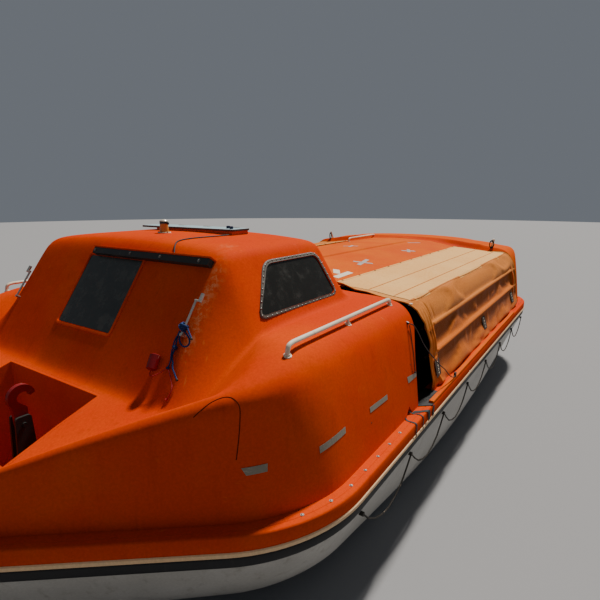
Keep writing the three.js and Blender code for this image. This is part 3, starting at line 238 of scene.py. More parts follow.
def tube(name, path, radius, sides=10):
    """A round tube along a path, its UV map in metres: u along it, v in turns."""
    path = np.array(path, float)
    along = np.gradient(path, axis=0)
    along /= np.linalg.norm(along, axis=1)[:, None]
    side = np.cross(along[0], (0.13, 0.21, 0.97))
    rings = []
    radii = np.broadcast_to(radius, len(path))
    for point, forward, size in zip(path, along, radii):
        side = side - forward * (side @ forward)
        side /= np.linalg.norm(side)
        other = np.cross(forward, side)
        angles = np.linspace(0, 2 * math.pi, sides + 1)
        rings.append([point + size * (math.cos(a) * side + math.sin(a) * other) for a in angles])
    obj = moulded(name, rings, path.mean(axis=0), round_way=True)
    length = path_length(path)
    for loop in obj.data.uv_layers[0].data:
        loop.uv = (loop.uv.y * length, loop.uv.x)
    in_edit(obj, lambda: bpy.ops.mesh.fill_holes(sides=0))
    return smooth(outward(obj), 60)


def block(name, low, high, bevel=0.0):
    """A box between two corners with eased edges."""
    low, high = Vector(low), Vector(high)
    deselect()
    bpy.ops.mesh.primitive_cube_add(size=1, location=(low + high) / 2)
    obj = named(name)
    obj.scale = high - low
    settle(obj)
    if bevel:
        in_edit(obj, lambda: bpy.ops.mesh.bevel(offset=bevel, segments=2, affect="EDGES"))
        smooth(obj, 30)
    return obj


def drum(name, start, end, radius, sides=16, bevel=0.0):
    """A cylinder between two points with eased rims."""
    start, end = Vector(start), Vector(end)
    axis = end - start
    deselect()
    bpy.ops.mesh.primitive_cylinder_add(
        vertices=sides, radius=radius, depth=axis.length, location=(start + end) / 2,
        rotation=axis.to_track_quat("Z", "Y").to_euler(),
    )
    obj = settle(named(name))
    if bevel:
        bevelled(obj, bevel)
    return smooth(obj, 35)


# %% [markdown]
# ## Finishes
# Sun and salt fade the gelcoat in clouds, rain leaves vertical streaks and knocks leave pale
# scuffs. Every painted piece shares these, so they are built once as shader node groups, and
# each material sets its own colours and amounts. The patterns read Object coordinates, which
# are metres in the boat's frame, so they stay put in every view.


# %% Node helpers
def new_group(name, inputs, outputs):
    group = bpy.data.node_groups.new(name, "ShaderNodeTree")
    kinds = {"colour": "NodeSocketColor", "value": "NodeSocketFloat", "vector": "NodeSocketVector"}
    for label, (kind, default) in inputs.items():
        socket = group.interface.new_socket(label, in_out="INPUT", socket_type=kinds[kind])
        if default is not None:
            socket.default_value = default
    for label, kind in outputs.items():
        group.interface.new_socket(label, in_out="OUTPUT", socket_type=kinds[kind])
    entry = group.nodes.new("NodeGroupInput")
    leave = group.nodes.new("NodeGroupOutput")
    return group, entry, leave


def add_node(tree, kind, settings=(), **inputs):
    """A node with its attributes set, and its inputs fed by a value or by another socket."""
    made = tree.nodes.new(kind)
    for key, value in dict(settings).items():
        setattr(made, key, value)
    for key, value in inputs.items():
        socket = made.inputs[int(key[1:])] if key[0] == "i" and key[1:].isdigit() else made.inputs[key]
        if isinstance(value, bpy.types.NodeSocket):
            tree.links.new(value, socket)
        else:
            socket.default_value = value
    return made


def sums(tree, operation, *values):
    """One step of arithmetic on values or sockets."""
    inputs = {f"i{place}": value for place, value in enumerate(values)}
    return add_node(tree, "ShaderNodeMath", {"operation": operation}, **inputs).outputs[0]


def mixed(tree, share, first, second, blend="MIX"):
    settings = {"data_type": "RGBA", "blend_type": blend}
    return add_node(tree, "ShaderNodeMix", settings, i0=share, i6=first, i7=second).outputs[2]


def ramp(tree, value, low, high, clamp=(0.0, 1.0)):
    made = add_node(tree, "ShaderNodeMapRange", {"clamp": True, "interpolation_type": "SMOOTHSTEP"},
                    i0=value, i1=low, i2=high, i3=clamp[0], i4=clamp[1])
    return made.outputs[0]


def noise(tree, where, scale, detail, rough):
    settings = {"Scale": scale, "Detail": detail, "Roughness": rough}
    return add_node(tree, "ShaderNodeTexNoise", i0=where, **settings).outputs[0]


# %% Weathering, scuffs and canvas weave as node groups
def weathering_group():
    """Clouds of faded colour, streaks of dirt that run down, and a fine speckle."""
    group, entry, leave = new_group(
        "weathering",
        {
            "Where": ("vector", None), "Colour": ("colour", (0.8, 0.2, 0.02, 1)),
            "Faded": ("colour", (0.9, 0.4, 0.1, 1)), "Dirt": ("colour", (0.2, 0.1, 0.05, 1)),
            "Fade": ("value", 0.5), "Streaks": ("value", 0.3), "Shine": ("value", 0.35),
        },
        {"Colour": "colour", "Roughness": "value", "Height": "value"},
    )
    given, where = entry.outputs, entry.outputs["Where"]
    clouds = ramp(group, noise(group, where, 1.3, 6, 0.6), 0.35, 0.7)
    fine = noise(group, where, 60, 5, 0.7)
    stretched = add_node(group, "ShaderNodeMapping", {"vector_type": "TEXTURE"}, i0=where, i3=(1, 1, 9)).outputs[0]
    runs = ramp(group, noise(group, stretched, 14, 5, 0.65), 0.52, 0.78)
    faded = mixed(group, sums(group, "MULTIPLY", clouds, given["Fade"]), given["Colour"], given["Faded"])
    dirty = mixed(group, sums(group, "MULTIPLY", runs, given["Streaks"]), faded, given["Dirt"])
    speckle = ramp(group, fine, 0.3, 0.75, (0.9, 1.08))
    tint = add_node(group, "ShaderNodeCombineColor", i0=speckle, i1=speckle, i2=speckle).outputs[0]
    broad = noise(group, where, 3.5, 2, 0.5)
    group.links.new(mixed(group, 1.0, dirty, tint, "MULTIPLY"), leave.inputs["Colour"])
    group.links.new(sums(group, "MULTIPLY_ADD", clouds, 0.22, given["Shine"]), leave.inputs["Roughness"])
    group.links.new(sums(group, "MULTIPLY_ADD", broad, 12.0, fine), leave.inputs["Height"])
    return group


def scuffs_group():
    """A mask of fine scratches in patches."""
    inputs = {"Where": ("vector", None), "Amount": ("value", 0.5), "Scale": ("value", 6.0)}
    group, entry, leave = new_group("scuffs", inputs, {"Mask": "value"})
    where = entry.outputs["Where"]
    patches = ramp(group, noise(group, where, entry.outputs["Scale"], 3, 0.5), 0.56, 0.72)
    scratch = add_node(group, "ShaderNodeMapping", {"vector_type": "TEXTURE"},
                       i0=where, i2=(0.2, 0.6, 0.9), i3=(1, 12, 12)).outputs[0]
    lines = ramp(group, noise(group, scratch, 90, 3, 0.6), 0.6, 0.72)
    both = sums(group, "MULTIPLY", patches, lines)
    group.links.new(sums(group, "MULTIPLY", both, entry.outputs["Amount"]), leave.inputs["Mask"])
    return group


def weave_group():
    """Threads that cross, with thicker places here and there."""
    inputs = {"Where": ("vector", None), "Threads": ("value", 400.0)}
    group, entry, leave = new_group("weave", inputs, {"Height": "value", "Shade": "value"})
    where = entry.outputs["Where"]
    waves = [add_node(group, "ShaderNodeTexWave", {"bands_direction": direction},
                      i0=where, Scale=entry.outputs["Threads"], Distortion=0.6).outputs[1] for direction in ("X", "Y")]
    slubs = noise(group, where, 35, 5, 0.65)
    height = sums(group, "MULTIPLY_ADD", slubs, 0.6, sums(group, "MAXIMUM", *waves))
    group.links.new(height, leave.inputs["Height"])
    group.links.new(ramp(group, slubs, 0.3, 0.7), leave.inputs["Shade"])
    return group


WEATHERING = weathering_group()
SCUFFS = scuffs_group()
WEAVE = weave_group()
print("node groups", [g.name for g in (WEATHERING, SCUFFS, WEAVE)])


# %% Materials from the groups
def blank_material(name):
    material = bpy.data.materials.new(name)
    material.use_nodes = True
    tree = material.node_tree
    shader = tree.nodes["Principled BSDF"]
    where = tree.nodes.new("ShaderNodeTexCoord").outputs["Object"]
    return material, tree, shader, where


def use_group(tree, group, **inputs):
    made = tree.nodes.new("ShaderNodeGroup")
    made.node_tree = group
    for key, value in inputs.items():
        if isinstance(value, bpy.types.NodeSocket):
            tree.links.new(value, made.inputs[key])
        else:
            made.inputs[key].default_value = value
    return made


def weathered(tree, shader, where, colour, faded, dirt, fade, streaks, shine):
    """Adds the weathering group with its roughness linked. Its colour is left to the caller."""
    made = use_group(tree, WEATHERING, Where=where, Colour=(*colour, 1), Faded=(*faded, 1), Dirt=(*dirt, 1),
                     Fade=fade, Streaks=streaks, Shine=shine)
    tree.links.new(made.outputs["Roughness"], shader.inputs["Roughness"])
    return made


def attribute(tree, name):
    return add_node(tree, "ShaderNodeAttribute", {"attribute_name": name}).outputs["Fac"]


def bump(tree, shader, height, distance, strength=1.0):
    made = add_node(tree, "ShaderNodeBump", Strength=strength, Distance=distance, Height=height)
    tree.links.new(made.outputs[0], shader.inputs["Normal"])


def painted(name, colour, faded, dirt, fade=0.5, streaks=0.3, shine=0.35, scuffed=0.4, scuff=(0.85, 0.7, 0.55),
            metal=0.0, grain=0.0004, gloss=0.3, worn=None):
    """The common finish. `worn` is a colour that shows where the mesh's attribute "wear" says so."""
    material, tree, shader, where = blank_material(name)
    weather = weathered(tree, shader, where, colour, faded, dirt, fade, streaks, shine)
    marks = use_group(tree, SCUFFS, Where=where, Amount=scuffed)
    surface = mixed(tree, marks.outputs["Mask"], weather.outputs["Colour"], (*scuff, 1))
    if worn:
        broken = ramp(tree, noise(tree, where, 22, 5, 0.7), 0.42, 0.62)
        surface = mixed(tree, sums(tree, "MULTIPLY", attribute(tree, "wear"), broken), surface, (*worn, 1))
    tree.links.new(surface, shader.inputs["Base Color"])
    bump(tree, shader, weather.outputs["Height"], grain)
    shader.inputs["Metallic"].default_value = metal
    shader.inputs["Specular IOR Level"].default_value = 0.5 if metal else gloss
    return material


ORANGE = painted("orange_gelcoat", (0.58, 0.04, 0.0006), (0.64, 0.085, 0.004), (0.2, 0.012, 0.001), fade=0.45,
                 streaks=0.22, shine=0.68, scuffed=0.3, scuff=(0.75, 0.3, 0.12), gloss=0.03, worn=(0.6, 0.2, 0.09))
ORANGE_TOP = painted("orange_sunburnt", (0.6, 0.08, 0.003), (0.68, 0.15, 0.014), (0.3, 0.035, 0.005), fade=0.7,
                     streaks=0.12, shine=0.62, scuff=(0.8, 0.4, 0.2), gloss=0.03)
ORANGE_BOW = painted("orange_bow", (0.62, 0.085, 0.003), (0.68, 0.14, 0.01), (0.24, 0.018, 0.001), streaks=0.2,
                     shine=0.7, scuffed=0.3, scuff=(0.8, 0.4, 0.2), gloss=0.02)
# Near black on the inner faces of the shells and the hull: painted shade for the dark inside of the boat.
INNER_SHADE = painted("inner_laminate_shaded", (0.03, 0.016, 0.012), (0.05, 0.03, 0.025), (0.01, 0.008, 0.006), shine=0.55)
CREAM = painted("cream_strip", (0.8, 0.5, 0.26), (0.85, 0.62, 0.38), (0.22, 0.12, 0.05), streaks=0.35, shine=0.4)
RUBBER = painted("fender_rubber", (0.01, 0.01, 0.011), (0.03, 0.03, 0.03), (0.06, 0.05, 0.045), shine=0.5,
                 scuff=(0.2, 0.18, 0.17), grain=0.0008)
HULL_PAINT = painted("hull_paint", (0.42, 0.4, 0.36), (0.55, 0.53, 0.5), (0.16, 0.13, 0.09), streaks=0.5)
STEEL = painted("stainless_tube", (0.5, 0.47, 0.42), (0.62, 0.59, 0.54), (0.22, 0.13, 0.07), shine=0.28, metal=0.85)
GALVANISED = painted("galvanised_steel", (0.3, 0.29, 0.27), (0.42, 0.41, 0.39), (0.18, 0.1, 0.05), shine=0.42,
                     metal=0.7)
RAIL_WHITE = painted("rail_paint", (0.72, 0.62, 0.46), (0.85, 0.78, 0.64), (0.26, 0.13, 0.05), streaks=0.4)
DARK_METAL = painted("dark_metal", (0.018, 0.018, 0.016), (0.04, 0.04, 0.036), (0.07, 0.05, 0.03), shine=0.4,
                     metal=0.3)
GREY_PLASTIC = painted("grey_plate", (0.26, 0.31, 0.31), (0.38, 0.42, 0.41), (0.1, 0.09, 0.07), shine=0.4)
# White mouldings inside the hull, darkened to paint the shade that fills the boat.
SHADED_WHITE_MOULDING = painted("white_moulding_shaded", (0.18, 0.165, 0.14), (0.22, 0.2, 0.18), (0.07, 0.05, 0.04), shine=0.45)
# Reflective tape made darker for the shaded sides: painted shade. tape_in_sun is the same tape with painted sunlight.
TAPE_IN_SHADE = painted("reflective_tape_in_shade", (0.21, 0.18, 0.135), (0.28, 0.25, 0.2), (0.1, 0.07, 0.04))
BRONZE = painted("propeller_bronze", (0.42, 0.22, 0.06), (0.52, 0.33, 0.12), (0.07, 0.13, 0.08), shine=0.25,
                 metal=0.9)
RED_PLASTIC = painted("red_plastic", (0.16, 0.002, 0.005), (0.26, 0.012, 0.012), (0.07, 0.003, 0.003), shine=0.4)
print("materials", len(bpy.data.materials))

# %% [markdown]
# ## The stage
# A plain pale floor at the waterline and soft light. The sun was high over the bow on the
# starboard side, so the main lamp stands there: tops are bright and the face at the stern is
# in its own shade.

# %% Floor and lights
deselect()
bpy.ops.mesh.primitive_circle_add(vertices=96, radius=60, fill_type="NGON", location=(0, 0, 0))
floor = named("stage_floor")
floor_material, _, floor_shader, _ = blank_material("pale_floor")
floor_shader.inputs["Base Color"].default_value = (0.25, 0.25, 0.255, 1)
floor_shader.inputs["Roughness"].default_value = 0.9
floor.data.materials.append(floor_material)
floor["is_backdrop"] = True

SUN_FROM = Vector((0.52, -0.04, 0.85))
bpy.ops.object.light_add(type="SUN", location=(4, -4, 8), rotation=SUN_FROM.to_track_quat("Z", "Y").to_euler())
sun = bpy.context.object
sun.data.energy = 5.7
sun.data.angle = math.radians(6)
sun.data.color = (1.0, 0.95, 0.88)
world = bpy.data.worlds.new("studio")
bpy.context.scene.world = world
world.use_nodes = True
sky = world.node_tree.nodes["Background"].inputs
sky[0].default_value, sky[1].default_value = (0.80, 0.88, 1.0, 1), 0.18
print("lamp and sky set")

# %% [markdown]
# ## Ropes and cords
# The cords come early, because their routes are fixed: they lie where the CAD model's cords lie.
# A lanyard for people climbing in runs from an eye on the shell to a clip on the gunwale, and
# blue and red ropes hang from the starboard release handle. Each is a tube along one eased
# curve. A rope's strands are only a pattern along the tube, which needs far fewer faces than
# real twisted strands, so its UV map counts metres along it and turns round it.

# %% The stern face's own axes
FACE_FOOT_X, FACE_FOOT_Z = -3.93, 1.65
FACE_LEAN = math.radians(35)


def wall_axes(origin, right, up):
    x, y = Vector(right).normalized(), Vector(up).normalized()
    return Matrix.Translation(origin) @ Matrix((x, y, x.cross(y))).transposed().to_4x4()


def face_axes(z=FACE_FOOT_Z):
    """The stern face: x to starboard, y up the slope, z out of it."""
    rise = math.tan(FACE_LEAN)
    return wall_axes((FACE_FOOT_X + (z - FACE_FOOT_Z) * rise, 0, z), (0, -1, 0), (rise, 0, 1))


FACE = face_axes()


def on_face(x, y, out=0.0):
    """A point of the stern face from its own axes, in metres."""
    return FACE @ Vector((x, y, out))


print("handle knot at", [round(v, 3) for v in on_face(1.09, 0.528, 0.034)])


# %% Rope strands as a node group
def strands_group():
    """Diagonal strands from metres along (x) and turns round (y). Crossed makes it a braid."""
    inputs = {"Where": ("vector", None), "Lay": ("value", 0.03), "Crossed": ("value", 0.0)}
    group, entry, leave = new_group("strands", inputs, {"Height": "value", "Shade": "value"})
    where = entry.outputs["Where"]
    parts = add_node(group, "ShaderNodeSeparateXYZ", i0=where).outputs
    along = sums(group, "DIVIDE", parts[0], entry.outputs["Lay"])
    waves = []
    for turns in (3.0, -3.0):
        angle = sums(group, "MULTIPLY", sums(group, "MULTIPLY_ADD", parts[1], turns, along), math.pi)
        waves.append(sums(group, "ABSOLUTE", sums(group, "SINE", angle)))
    height = sums(group, "MAXIMUM", waves[0], sums(group, "MULTIPLY", waves[1], entry.outputs["Crossed"]))
    fuzz = noise(group, where, 300, 4, 0.7)
    group.links.new(sums(group, "MULTIPLY_ADD", fuzz, 0.3, height), leave.inputs["Height"])
    group.links.new(ramp(group, height, 0.1, 0.8), leave.inputs["Shade"])
    return group


STRANDS = strands_group()


def rope_finish(name, colour, groove, worn, lay, crossed=0.0):
    material, tree, shader, where = blank_material(name)
    lengthwise = tree.nodes["Texture Coordinate"].outputs["UV"]
    twist = use_group(tree, STRANDS, Where=lengthwise, Lay=lay, Crossed=crossed)
    weather = weathered(tree, shader, where, colour, worn, groove, 0.6, 0.3, 0.7)
    surface = mixed(tree, twist.outputs["Shade"], (*groove, 1), weather.outputs["Colour"])
    tree.links.new(surface, shader.inputs["Base Color"])
    shader.inputs["Specular IOR Level"].default_value = 0.2
    bump(tree, shader, twist.outputs["Height"], 0.0012, 0.8)
    return material


BLUE_ROPE = rope_finish("blue_rope", (0.016, 0.040, 0.155), (0.003, 0.006, 0.028), (0.035, 0.09, 0.27), 0.016)
RED_CORD = rope_finish("red_cord", (0.42, 0.030, 0.036), (0.14, 0.006, 0.007), (0.60, 0.12, 0.12), 0.010, 1.0)
BLACK_CORD = rope_finish("black_cord", (0.045, 0.036, 0.030), (0.008, 0.007, 0.006), (0.17, 0.135, 0.11), 0.010, 1.0)
print("rope finishes ready")


def slot_of(material):
    """The record's slot of a cord's finish: its name without Blender's number."""
    return material.name.split(".")[0]


# %% Lay the cords
ROUTES = {
    "entry_lanyard": [
        (-1.866, -1.977, 1.85), (-1.838, -1.984, 1.842), (-1.806, -2.0, 1.816), (-1.768, -2.03, 1.74),
        (-1.722, -2.062, 1.642), (-1.654, -2.094, 1.553), (-1.56, -2.12, 1.463), (-1.46, -2.14, 1.38),
        (-1.354, -2.166, 1.304), (-1.276, -2.178, 1.236), (-1.2, -2.187, 1.184), (-1.13, -2.191, 1.152),
        (-1.078, -2.19, 1.142), (-1.05, -2.186, 1.144),
    ],
    "entry_lanyard_tail": [
        (-1.879, -1.977, 1.842), (-1.884, -1.99, 1.8), (-1.89, -2.002, 1.758), (-1.896, -2.014, 1.7),
        (-1.899, -2.028, 1.635), (-1.901, -2.042, 1.56), (-1.901, -2.052, 1.48), (-1.893, -2.06, 1.425),
    ],
}
# Points on the stern face, in millimetres to starboard, up the slope and out of it
FACE_ROUTES = {
    "handle_rope": (
        (1112, 501, 26), (1127, 492, 21), (1148, 478, 18), (1168, 461, 18), (1180, 439, 18), (1175, 421, 18),
        (1157, 410, 18), (1134, 410, 18), (1110, 420, 18), (1092, 434, 18), (1079, 450, 18), (1075, 468, 19),
        (1075, 484, 21), (1078, 497, 24),
    ),
    "handle_rope_tail": (
        (1061, 500, 26), (1058, 480, 22), (1059, 453, 20), (1066, 422, 18), (1073, 393, 18), (1076, 371, 18),
        (1076, 350, 18), (1081, 328, 18), (1095, 308, 18), (1110, 290, 18), (1119, 269, 18), (1134, 249, 17),
        (1154, 232, 15), (1175, 213, 12), (1194, 196, 9),
    ),
    "handle_cord": (
        (1094, 240, 16), (1108, 229, 15), (1124, 212, 14), (1143, 191, 13), (1162, 170, 12), (1178, 149, 11),
        (1186, 126, 10), (1185, 105, 9), (1179, 83, 8), (1172, 63, 8),
    ),
    "float_lanyard": (
        (1079, 242, 17), (1068, 230, 22), (1055, 213, 28), (1040, 196, 34), (1021, 180, 38), (1000, 168, 41),
        (983, 170, 42), (976, 185, 42), (974, 201.2, 42),
    ),
    "handle_rope_end": (
        (1116, 534, 30), (1128, 525, 30), (1142, 510, 28), (1156, 496, 25), (1170, 483, 22), (1182, 469, 19),
    ),
    "handle_rope_branch": (
        (1069, 500, 36), (1074, 478, 34), (1062, 455, 32), (1054, 430, 26), (1062, 405, 30), (1078, 390, 30),
        (1068, 370, 30), (1069, 350, 24), (1080, 335, 30), (1087, 318, 30), (1089, 300, 24), (1089, 280, 20),
        (1087, 262, 18),
    ),
}
for name, points in FACE_ROUTES.items():
    ROUTES[name] = [on_face(*(value / 1000 for value in point)) for point in points]
PATHS = {name: eased(route, 40) for name, route in ROUTES.items()}


def wound_knot(name, centre, along, radius, cord, turns, material, node=None):
    """Cord wound round a line in a spiral, then twice across itself. `radius` is the whole knot's."""
    frame_of = Vector(along).normalized().to_track_quat("Z", "Y").to_matrix()
    path, middle, spiral = [], radius - cord, 0.7
    for t in np.linspace(0, 1, turns * 12):
        angle = 2 * math.pi * turns * t
        out = middle if t < spiral else radius - cord * 0.4
        if t < spiral:
            level = (t / spiral * 2 - 1) * middle
        else:
            level = math.sin((t - spiral) / 0.3 * 2 * math.pi) * middle
        level = max(-middle, min(middle, level * 0.8))
        reach = math.sqrt(max(0.2 * radius**2, out**2 - (level * 0.6)**2))
        path.append(Vector(centre) + frame_of @ Vector((reach * math.cos(angle), reach * math.sin(angle), level)))
    return dress(tube(name, path, cord, 8), material, node=node, slot=slot_of(material))


def face_knot(name, at, along, *sizes, node=None):
    """A knot of blue rope on the stern face, its line lying along it."""
    return wound_knot(name, on_face(*at), FACE.to_3x3() @ Vector((*along, 0)), *sizes, BLUE_ROPE, node)


def end_knot(name, cord, *sizes_and_finish):
    """A knot or whipping round the end of a cord."""
    path = PATHS[cord]
    return wound_knot(name, path[-1], Vector(path[-1] - path[-2]), *sizes_and_finish)


# Sizes: the knot's radius, the cord's radius and the turns
hitch = face_knot("handle_hitch", (1.088, 0.532, 0.034), (0.5, 1), 0.031, 0.0065, 6, node="handle_knot")
bend = face_knot("rope_bend", (1.074, 0.388, 0.022), (0.1, -1), 0.017, 0.006, 5)
low_bend = face_knot("cord_bend", (1.086, 0.25, 0.017), (0.5, -1), 0.0115, 0.0045, 4)
whipping = end_knot("rope_whipping", "handle_rope_tail", 0.0085, 0.0022, 5, BLACK_CORD)
end_whipping = end_knot("end_whipping", "handle_rope_end", 0.0085, 0.0022, 5, BLACK_CORD)
cord_stop = end_knot("cord_stop", "handle_cord", 0.0075, 0.003, 4, RED_CORD)
tail_knot = end_knot("lanyard_stop", "entry_lanyard_tail", 0.009, 0.0038, 4, BLACK_CORD)
LAYING = {
    "entry_lanyard": (0.010, BLACK_CORD, "fitting", "hanging", ["lanyard_clip", "lanyard_eye"]),
    "entry_lanyard_tail": (0.008, BLACK_CORD, "knot", "hanging", [tail_knot]),
    "handle_rope": (0.012, BLUE_ROPE, "object", "loose", [hitch]),
    "handle_rope_tail": (0.012, BLUE_ROPE, "bare", "hanging", [hitch, bend, whipping]),
    "handle_cord": (0.010, RED_CORD, "knot", "hanging", [low_bend, cord_stop]),
    "float_lanyard": (0.008, RED_CORD, "fitting", "hanging", [low_bend, "marker_float"]),
    "handle_rope_end": (0.012, BLUE_ROPE, "bare", "loose", [hitch, end_whipping]),
    "handle_rope_branch": (0.010, BLUE_ROPE, "knot", "hanging", [hitch, bend, low_bend]),
}
for name, (diameter, finish, far_end, lay, others) in LAYING.items():
    laid = tube(f"{name}_line", PATHS[name], diameter / 2, 10)
    dress(laid, finish, node=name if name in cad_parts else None, slot=slot_of(finish))
    others = [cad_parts[other] if isinstance(other, str) else other for other in others]
    print(name, round(path_length(PATHS[name]), 3), "m")

# %% [markdown]
# ## The plan and the sections
# The gunwale's plan is made of straight sides, corner arcs, slanted ends and round tips. The
# canopies follow it, set in a little. Each canopy section runs from one foot over the shoulder,
# the hollow beside the wheelhouse, its side wall and its crown, and down the other side.

# %% The gunwale's plan
END_X, SIDE_Y = 5.35, 2.205
CORNER_X, CORNER_R = 3.2, 1.1
TIP_X, TIP_R = END_X - 0.5, 0.5
CORNER_Y = SIDE_Y - CORNER_R
TURN = math.atan2(CORNER_Y, TIP_X - CORNER_X) + math.asin((CORNER_R - TIP_R) / math.hypot(CORNER_Y, TIP_X - CORNER_X))
GUNWALE_TOP = 1.1


def half_breadth(x, inset):
    reach, corner, tip = abs(x), CORNER_R - inset, TIP_R - inset
    if reach <= CORNER_X:
        return SIDE_Y - inset
    if reach <= CORNER_X + corner * math.sin(TURN):
        return CORNER_Y + math.sqrt(corner**2 - (reach - CORNER_X)**2)
    if reach <= TIP_X + tip * math.sin(TURN):
        level = CORNER_X * math.sin(TURN) + CORNER_Y * math.cos(TURN) + corner
        return (level - reach * math.sin(TURN)) / math.cos(TURN)
    return math.sqrt(max(0.0, tip**2 - (reach - TIP_X)**2))


def plan_quarter(inset, arc_steps=14):
    points = [(x, SIDE_Y - inset) for x in (0, 0.8, 1.6, 2.4)]
    arcs = ((CORNER_X, CORNER_Y, CORNER_R - inset, 0, TURN), (TIP_X, 0, TIP_R - inset, TURN, math.pi / 2))
    for x, y, radius, start, end in arcs:
        for angle in np.linspace(start, end, arc_steps + 1):
            points.append((x + radius * math.sin(angle), y + radius * math.cos(angle)))
    points[-1] = (points[-1][0], 0.0)
    return points


def plan(inset):
    """The whole outline, closed: its first point is its last."""
    quarter = plan_quarter(inset)
    back = quarter[::-1]
    turned = ((-1, 1, quarter), (-1, -1, back), (1, -1, quarter))
    return [*back, *[(a * x, b * y) for a, b, part in turned for x, y in part[1:]]]


print("points round the plan", len(plan(0)))

# %% Canopy sections
FOOT = GUNWALE_TOP + 0.0004
INSET = 0.11
FACE_TOP_X = FACE_FOOT_X + (2.478 - FACE_FOOT_Z) * math.tan(FACE_LEAN)
STERN_EDGE, BOW_EDGE = -1.745, 2.95
HOUSE_TOP = 2.555
STERN = {
    "fall_from": 3.35, "power": 1.2, "shoulder": 2.04, "limit": FACE_FOOT_X,
    "middle": [(FACE_FOOT_X, FACE_FOOT_Z), (FACE_TOP_X, 2.478), (FACE_TOP_X + 0.06, 2.54),
               (FACE_TOP_X + 0.13, HOUSE_TOP),
               (-2.12, HOUSE_TOP), (-2.06, 2.53), (-2.03, 2.48), (-1.96, 2.15), (-1.90, 2.06)],
    "hollow": [(FACE_FOOT_X, 1.655), (-3.6, 1.84), (-3.3, 1.98), (-3.0, 2.02), (-2.1, 2.02), (-1.96, 2.04)],
    "crown": [(FACE_TOP_X, 0), (FACE_TOP_X + 0.15, 0.075), (-2.15, 0.075), (-2.03, 0), (-1.96, 0), (-1.9, 0.12)],
}
BOW = {
    "fall_from": 3.3, "power": 1.8, "shoulder": 2.09, "limit": 3.3,
    "middle": [(BOW_EDGE, 2.15), (3.3, 2.16)], "hollow": [(BOW_EDGE, 2.12), (3.3, 2.13)],
    "crown": [(BOW_EDGE, 0.06), (3.3, 0.06)],
}
SHOULDER = ((0.12, 0.24), (0.16, 0.135), (0.24, 0.05), (0.37, 0.015), (0.575, 0.0))
HOUSE_FOOT_Y, HOUSE_EDGE_Y = 1.4, 1.15


def table(rows, x):
    return float(np.interp(x, *zip(*rows)))


def shoulder_height(end, x):
    past = max(0.0, abs(x) - end["fall_from"]) / (END_X - 0.05 - end["fall_from"])
    return FOOT + (end["shoulder"] - FOOT) * (1 - min(1.0, past)**end["power"])**(1 / end["power"])


def middle_height(end, rows, x):
    if abs(x) <= abs(end["limit"]):
        return table(rows, x)
    share = (shoulder_height(end, x) - FOOT) / (shoulder_height(end, end["limit"]) - FOOT)
    return FOOT + (table(rows, end["limit"]) - FOOT) * share


def half_section(end, x):
    foot = max(0.02, half_breadth(x, INSET))
    shoulder = shoulder_height(end, x)
    step = min(1.0, max(0.0, (abs(x) - 3.3) / 0.6))
    width = 1 - 0.65 * step * step * (3 - 2 * step)
    shrink = min(1.0, foot / half_breadth(FACE_FOOT_X, INSET))
    hollow, middle = middle_height(end, end["hollow"], x), middle_height(end, end["middle"], x)
    crown = table(end["crown"], x) * shrink
    drop = min(1.0, (shoulder - FOOT) / (end["shoulder"] - FOOT))
    side = [(foot - inward * width * shrink, shoulder - below * drop * max(width, 0.5)) for inward, below in SHOULDER]
    lift = min(0.06, max(0.0, middle - hollow) * 0.12)
    wall_foot, wall_top = (HOUSE_FOOT_Y * shrink, hollow + lift), ((HOUSE_EDGE_Y + 0.015) * shrink, middle - lift)
    wall = [tuple(np.array(wall_foot) * (1 - t) + np.array(wall_top) * t) for t in (0, 0.12, 0.5, 0.88, 1)]
    return [
        (foot, FOOT), (foot - 0.012 * width * shrink, FOOT + (shoulder - FOOT) * 0.1),
        (foot - 0.065 * width * shrink, FOOT + (shoulder - FOOT) * 0.5), *side,
        (wall_foot[0] + 0.035 * shrink, hollow), *wall, ((HOUSE_EDGE_Y - 0.03) * shrink, middle + crown * 0.1),
        ((HOUSE_EDGE_Y - 0.16) * shrink, middle + crown * 0.4), (HOUSE_EDGE_Y * 0.5 * shrink, middle + crown * 0.85),
        (0.0, middle + crown),
    ]


def both_sides(x, half):
    """A whole row across the boat from (y, z) points that run to the middle."""
    return [(x, -y, z) for y, z in half] + [(x, y, z) for y, z in half[-2::-1]]


def section_row(end, x):
    return both_sides(x, half_section(end, x))


STERN_STATIONS = [
    -5.215, -5.18, -5.12, -5.0, -4.85, -4.6, -4.3, FACE_FOOT_X - 0.09, FACE_FOOT_X - 0.02, FACE_FOOT_X + 0.03,
    -3.8, -3.6,
    -3.45, FACE_TOP_X - 0.02, FACE_TOP_X + 0.035, FACE_TOP_X + 0.1, FACE_TOP_X + 0.2, -2.8, -2.45, -2.2, -2.1, -2.05,
    -2.02, -1.97, -1.92, -1.87, -1.8, STERN_EDGE,
]
BOW_STATIONS = [BOW_EDGE, 3.1, 3.3, 3.5, 3.7, 3.93, 4.3, 4.6, 4.85, 5.0, 5.12, 5.18, 5.215]
print("section points", len(section_row(STERN, -3.0)))

# %% [markdown]
# ## The orange shells
# The canopies are glass-fibre mouldings about 25 mm thick with large soft edges. A subdivision
# surface over the section cage gives that softness in one go, where bevels on hard corners
# would have to be blended by hand. The thickness comes from Solidify, and the windows, hatch
# and hook bays are cut last with a boolean, so their edges stay crisp.


# %% Canopy cages
def nose_row(end, x_tip, near):
    """The cage's last row: the nearest section folded onto the centreline."""
    return [(x_tip, 0.0, z) for _, _, z in section_row(end, near)]


def skin(name, end, stations):
    rows = [section_row(end, x) for x in stations]
    if end is STERN:
        rows, inner = [nose_row(end, -5.238, -5.225), *rows], (-3.3, 0, 1.3)
    else:
        rows, inner = [*rows, nose_row(end, 5.238, 5.225)], (3.6, 0, 1.3)
    cage = moulded(name, rows, inner, round_way=True)
    return subdivided(cage, 2)


def tree_of(obj):
    """Finds where a line meets a piece, for things that sit on it."""
    return BVHTree.FromPolygons([v.co.copy() for v in obj.data.vertices], [p.vertices[:] for p in obj.data.polygons])


